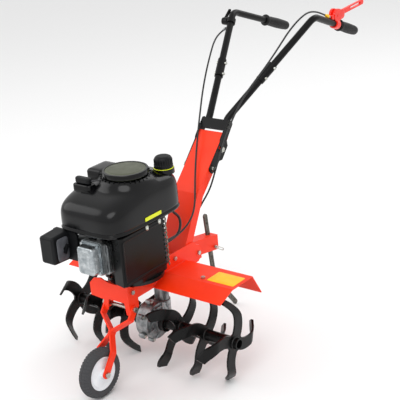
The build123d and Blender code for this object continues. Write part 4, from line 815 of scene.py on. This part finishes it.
    def filler_cap(self) -> None:
        """Make the fluted filler cap and the pale seal under it.

        The cap's profile is turned about its axis, and its radius swells by the cosine of the number of
        flutes times the angle, down its side only.
        """
        low, high = self.cap_heights
        arc = np.linspace(0, np.pi / 2, 12)
        side = np.array([[21.0, 1.0], [27.5, 0.0], [28.0, 2.0], [28.0, 9.0], [26.4, 11.0], [26.4, 22.0]])
        dome = np.stack([15.4 + 11 * np.cos(arc), 22 + (high - low - 22) * np.sin(arc)], -1)
        profile = np.concatenate([side, dome, [[1.0, high - low]]])
        angle = np.linspace(0, 2 * np.pi, 176, endpoint=False)
        fluted = ((profile[:, 1] > 10) & (profile[:, 1] < 27)).astype(float)[:, None]
        net = turned(profile, (*self.cap, low), (0, 0, 1), 176, 0.9 * fluted * np.cos(self.flutes * angle))
        Shells().grid(net).build("filler_cap", GRAINED_PP, "fuel_cap", "tank_plastic", "fuel_cap")
        seal = np.array([[21.0, -1.7], [29.3, -1.7], [29.8, -0.8], [29.3, -0.1], [21.0, -0.1]])
        Shells().grid(turned(seal, (*self.cap, low), (0, 0, 1), 96), round_columns=True).build(
            "filler_seal", LIME_VINYL, "frame", "tank_plastic")

    def cleaner_trim(self) -> None:
        """Add the lighter side panel of the air cleaner, its screw's collar and the ribs on its face."""
        panel = Shells().grid(slab((-88.6, -246, 442), 22, 34, 2.6, (0, 1, 0), (0, 0, 1), lift=0.4, power=6))
        panel.build("cleaner_panel", GREY_PP, "frame", "cleaner_grey")
        ribs = Shells()
        for z in range(412, 473, 15):
            ribs.grid(slab((-118, -279.3, z), 20, 1.6, 1.2, (-1, 0, 0), (0, 0, 1), power=4, around=28))
        ribs.build("cleaner_ribs", GRAINED_PP, "frame", "cleaner_grey")

    def guard_trim(self) -> None:
        """Hem the muffler guard's side, and hang it from two bright clips under the cowl's rim."""
        hem = Shells()
        for z in (352.0, 478.0):
            hem.grid(slab((self.guard_x, -108, z), 86, 3.0, 1.6, (0, 1, 0), (0, 0, 1), lift=0.3, power=8))
        hem.grid(slab((self.guard_x, -196, 415), 3.0, 60, 1.6, (0, 1, 0), (0, 0, 1), lift=0.3, power=8))
        hem.build("guard_hem", BLACK_ENAMEL, "frame", "black_paint")
        clips = Shells()
        for y in (-92.0, -38.0):
            clips.grid(slab((93.8, y, 482), 6.0, 7.0, 2.6, (0, 1, 0), (0, 0, 1), lift=0.5, power=5))
            clips.grid(turned(np.array([[0.5, 0.0], [3.2, 0.0], [3.4, 0.8], [2.6, 2.2], [0.5, 2.5]]),
                              (96.2, y, 481), (1, 0, 0), 24))
        clips.build("guard_clips", ZINC_PLATE, "frame", "zinc_steel")

    def castings(self) -> None:
        """Raise the rocker cover's pad, and leave the crankcase's ribbed rear corners as cast."""
        pad = Shells().grid(slab((0, -253.6, 424), 17, 27, 1.6, (-1, 0, 0), (0, 0, 1), lift=0.5, power=5))
        pad.build("rocker_cover_pad", DIE_CAST, "frame", "cast_aluminium")
        corners = Shells()
        for side in Side:
            out = np.array([0.707 * side.value, 0.707, 0.0])
            sideways = (-0.707, 0.707 * side.value, 0.0)
            middle = np.array([side.value * 66.4, 17.4, 402.0])
            corners.grid(slab(tuple(middle), 6.5, 84, 2.4, sideways, (0, 0, 1), power=9, around=48))
            for height in range(-78, 77, 14):
                spot = middle + out * 1.6 + np.array([0, 0, height])
                corners.grid(slab(tuple(spot), 7.5, 2.6, 2.6, sideways, (0, 0, 1), power=5, around=24))
        corners.build("crankcase_corners", BARE_CASTING, "frame", "cast_aluminium")

    def strip(self) -> None:
        """Lay a plain lime strip on the cowl's left wall."""
        Shells().grid(slab((94.2, -60, 507), 35, 5.5, 0.5, (0, 1, 0), (0, 0, 1), power=20)).build(
            "cowl_strip", LIME_VINYL, "frame", "cowl_black")

    def rope(self) -> None:
        """Lead the starter's rope from its housing to the handle."""
        line = smooth_route([(-20, -100, 612), (-40, -118, 612), (-60, -134, 610), (-70, -134, 610)],
                            "rope_route")
        rope = Shells().grid(piped(line, 2.1, sides=18, twist=1.3, lobes=3, relief=0.25))
        made = rope.build("starter_rope", STARTER_ROPE, None, "cleaner_grey")
        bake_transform(made)

    def lead(self) -> None:
        """Lead the ignition cable from the plug's boot up under the cowl."""
        line = smooth_route([(24, -212, 498), (26, -214, 508), (34, -206, 520), (40, -190, 530)], "lead_route")
        Shells().grid(piped(line, 3.4, sides=16)).build("ignition_lead", CABLE_SLEEVE, "frame", "hose_rubber")

    def make(self) -> None:
        """Build and dress the engine."""
        self.dress()
        self.cowl()
        self.starter_trim()
        self.filler_cap()
        self.cleaner_trim()
        self.guard_trim()
        self.castings()
        self.strip()
        self.rope()
        self.lead()


@dataclass
class Handlebars:
    """Bracket, tubes, grips, levers and the two control cables."""

    corner: tuple[float, float, float] = (158.0, 722.0, 913.0)
    end: tuple[float, float, float] = (138.0, 1009.0, 808.0)
    grip_length: float = 134.0
    grip_radius: float = 16.0
    cable_radius: float = 2.75
    clutch_exit: tuple[float, float, float] = (148.0, 831.5, 890.0)
    throttle_exit: tuple[float, float, float] = (-158.0, 672.0, 866.0)
    throttle_anchor: tuple[float, float, float] = (50.0, 23.0, 378.0)

    def dress(self) -> None:
        """Paint the tubes and bracket, and give the levers their colours."""
        BLACK_ENAMEL.dress("handle_bracket", "handle_tubes", "throttle_lever")
        ZINC_PLATE.dress("handle_bolts")
        RED_ABS.dress("lever_clamps", "clutch_lever")

    def blacken_right_clamp(self) -> None:
        """Give the faces of the clamps that lie on the right a second, black material."""
        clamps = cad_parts["lever_clamps"].data
        clamps.materials.append(BLACK_ENAMEL.material())
        corners = np.zeros(len(clamps.vertices) * 3)
        clamps.vertices.foreach_get("co", corners)
        first = np.zeros(len(clamps.loops), int)
        clamps.loops.foreach_get("vertex_index", first)
        starts = np.zeros(len(clamps.polygons), int)
        clamps.polygons.foreach_get("loop_start", starts)
        on_right = corners.reshape(-1, 3)[first[starts], 0] < 0
        clamps.polygons.foreach_set("material_index", on_right.astype(int))

    def grips(self) -> None:
        """Make both grips.

        The radius along a grip is the handle's own, plus a hand stop at its start, a palm swell that is
        a wide bell, and rings that are a raised cosine each seven millimetres, and the end is a quarter
        ellipse.
        """
        grips = Shells()
        reach = np.linspace(0, self.grip_length, 150)
        stop = 4.5 * np.exp(-((reach - 3) / 3.2) ** 4)
        palm = 1.2 * np.exp(-((reach - 70) / 34) ** 2)
        rings = 0.7 * (0.5 + 0.5 * np.cos(2 * np.pi * reach / 7)) ** 2
        rings = rings * np.clip((reach - 14) / 6, 0, 1) * np.clip((self.grip_length - 14 - reach) / 6, 0, 1)
        tail = np.clip((reach - (self.grip_length - 12)) / 12, 0, 1)
        radius = (self.grip_radius - 0.8 + stop + palm + rings) * np.sqrt(np.maximum(1 - tail ** 2.4, 0.003))
        profile = np.stack([radius, reach], -1)
        angle = np.linspace(0, 2 * np.pi, 72, endpoint=False)
        fingers = 0.5 * np.clip(np.cos(8 * angle), 0, 1)[None] * np.clip((reach - 20) / 10, 0, 1)[:, None]
        fingers = fingers * np.clip((self.grip_length - 20 - reach) / 10, 0, 1)[:, None]
        for side in Side:
            flip = np.array([side.value, 1, 1])
            start, end = np.array(self.corner) * flip, np.array(self.end) * flip
            run = (end - start) / np.linalg.norm(end - start)
            origin = end - run * (self.grip_length - 5)
            grips.grid(turned(profile, tuple(origin), tuple(run), len(angle), fingers))
        grips.build("ribbed_grips", GRIP_PVC, "handlebars", "grip_rubber", "grips", crease=70)

    def cable(self, name: str, node: str, route: list[tuple]) -> None:
        """Make one control cable as a sleeve along a smooth curve through its route, on no body.

        Args:
            name: the piece's name.
            node: the frame's node that it stands for.
            route: control points in millimetres.
        """
        line = smooth_route(route, name + "_route")
        sleeve = Shells().grid(piped(line, self.cable_radius))
        made = sleeve.build(name, CABLE_SLEEVE, None, "hose_rubber", node)
        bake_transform(made)

    def cables(self) -> None:
        """Run the clutch cable and the throttle cable."""
        clutch = [
            self.clutch_exit, (148.5, 800, 904), (150, 750, 924), (150, 700, 933), (147, 650, 920),
            (140, 600, 892), (128, 560, 852), (110, 520, 806), (94, 480, 768), (80, 440, 732),
            (70, 400, 690), (63, 352, 632), (61, 310, 574), (59, 275, 514), (52, 256, 470), (36, 228, 428),
            (23, 196, 384), (21, 160, 346), (22, 134, 318), (22, 124, 297), (22, 112, 288)]
        throttle = [
            self.throttle_exit, (-160, 640, 858), (-148, 592, 842), (-126, 538, 812), (-104, 480, 768),
            (-84, 428, 716), (-66, 386, 664), (-46, 352, 646), (-28, 316, 610), (-8, 276, 562),
            (14, 238, 520), (36, 204, 486), (50, 182, 452), (56, 158, 420), (56, 124, 398),
            (54, 84, 386), (52, 54, 380), self.throttle_anchor]
        self.cable("clutch_cable_sleeve", "clutch_cable", clutch)
        self.cable("throttle_cable_sleeve", "throttle_cable", throttle)

    def ferrules(self) -> None:
        """Fit a stepped ferrule where each cable leaves its lever and reaches its anchor."""
        steps = np.array([[0.5, -3.0], [4.6, -3.0], [4.9, -2.0], [4.9, 4.0], [4.2, 5.0], [4.2, 11.0],
                          [3.6, 12.0], [3.4, 15.0], [0.5, 15.0]])
        upper = Shells()
        upper.grid(turned(steps, self.clutch_exit, (0.5, -31.5, 14), 40))
        upper.grid(turned(steps, self.throttle_exit, (-2, -32, -8), 40))
        upper.build("lever_ferrules", TURNED_STEEL, "handlebars", "machined_steel")
        boot = np.array([[0.5, 0.0], [6.4, 0.0], [6.8, 2.0], [6.2, 9.0], [4.6, 15.0], [3.4, 22.0], [0.5, 22.4]])
        Shells().grid(turned(boot, (148.2, 822, 894), (0.5, -31.5, 14), 40)).build(
            "clutch_boot", YELLOW_VINYL, "handlebars", "lever_red")
        lower = Shells().grid(turned(steps, self.throttle_anchor, (2, 31, 2), 40))
        lower.build("engine_ferrule", TURNED_STEEL, "frame", "machined_steel")

    def perch_cheeks(self) -> None:
        """Flank the clutch lever's boss with the perch's two moulded cheeks."""
        cheeks = Shells()
        for x in (138.2, 153.2):
            cheeks.grid(slab((x, 880, 889), 34, 17, 5.0, (0, 1, -0.05), (0, 0.05, 1), lift=0.8, power=3.2))
        cheeks.build("perch_cheeks", RED_ABS, "handlebars", "lever_red")

    def make(self) -> None:
        """Build and dress the handlebars."""
        self.dress()
        self.blacken_right_clamp()
        self.perch_cheeks()
        self.grips()
        self.cables()
        self.ferrules()


@dataclass
class Studio:
    """Pale floor, soft lights and the camera."""

    eye: tuple[float, float, float] = (1893.8, -2069.9, 1572.0)
    azimuth: float = 39.0
    pitch: float = 20.9
    roll: float = -4.7
    lens: float = 93.27

    def camera(self) -> None:
        """Stand the camera at its eye point, turned by azimuth, pitch and roll."""
        az, pitch, roll = (math.radians(v) for v in (self.azimuth, self.pitch, self.roll))
        forward = Vector((-math.sin(az) * math.cos(pitch), math.cos(az) * math.cos(pitch), -math.sin(pitch)))
        level = Vector((math.cos(az), math.sin(az), 0.0))
        up = level.cross(forward)
        right = math.cos(roll) * level + math.sin(roll) * up
        top = -math.sin(roll) * level + math.cos(roll) * up
        turn = Matrix((right, top, -forward)).transposed().to_4x4()
        data = bpy.data.cameras.new("studio_camera")
        data.lens, data.sensor_width, data.clip_end = self.lens, 36.0, 50.0
        made = bpy.data.objects.new("studio_camera", data)
        made.matrix_world = Matrix.Translation(Vector(place(self.eye))) @ turn
        bpy.context.scene.collection.objects.link(made)
        bpy.context.scene.camera = made

    def lamp(self, name: str, spot: tuple, size: float, power: float) -> None:
        """Hang one soft round light that faces the machine.

        Args:
            name: the light's name.
            spot: its position in metres.
            size: its width in metres.
            power: in watts.
        """
        data = bpy.data.lights.new(name, "AREA")
        data.shape, data.size, data.energy = "DISK", size, power
        made = bpy.data.objects.new(name, data)
        aim = Vector((0, 0, 0.45)) - Vector(spot)
        turn = aim.to_track_quat("-Z", "Y").to_matrix().to_4x4()
        made.matrix_world = Matrix.Translation(Vector(spot)) @ turn
        bpy.context.scene.collection.objects.link(made)

    def room(self) -> None:
        """Lay the floor and set the pale surround."""
        mesh = bpy.data.meshes.new("studio_floor")
        mesh.from_pydata([(-30, -30, 0), (30, -30, 0), (30, 30, 0), (-30, 30, 0)], [], [(0, 1, 2, 3)])
        paper = bpy.data.materials.new("studio_paper")
        paper.use_nodes = True
        sheet = paper.node_tree.nodes["Principled BSDF"].inputs
        sheet["Base Color"].default_value = (0.9, 0.9, 0.9, 1)
        sheet["Roughness"].default_value = 0.9
        mesh.materials.append(paper)
        floor = bpy.data.objects.new("studio_floor", mesh)
        bpy.context.scene.collection.objects.link(floor)
        world = bpy.data.worlds.new("studio_surround")
        world.use_nodes = True
        glow = world.node_tree.nodes["Background"].inputs
        glow["Color"].default_value = (1.0, 1.0, 1.0, 1)
        glow["Strength"].default_value = 0.85
        bpy.context.scene.world = world
        # The plain transform keeps the saturated orange, which the filmic one washes out.
        bpy.context.scene.view_settings.view_transform = "Standard"

    def make(self) -> None:
        """Set up the camera, lights and floor."""
        self.camera()
        self.room()
        self.lamp("key", (1.2, -2.4, 3.4), 2.8, 55)
        self.lamp("fill", (-2.8, -1.6, 2.4), 2.6, 25)
        self.lamp("rim", (0.4, 3.0, 3.0), 2.6, 30)


def main() -> None:
    """Build the studio and each sub-assembly in turn."""
    logging.basicConfig(level=logging.INFO, format="%(name)s %(message)s")
    Studio().make()
    for part in (Chassis(), Gearbox(), Rotor(), TransportWheel(), Engine(), Handlebars()):
        log.info("building %s", type(part).__name__)
        part.make()


if __name__ == "__main__":
    main()
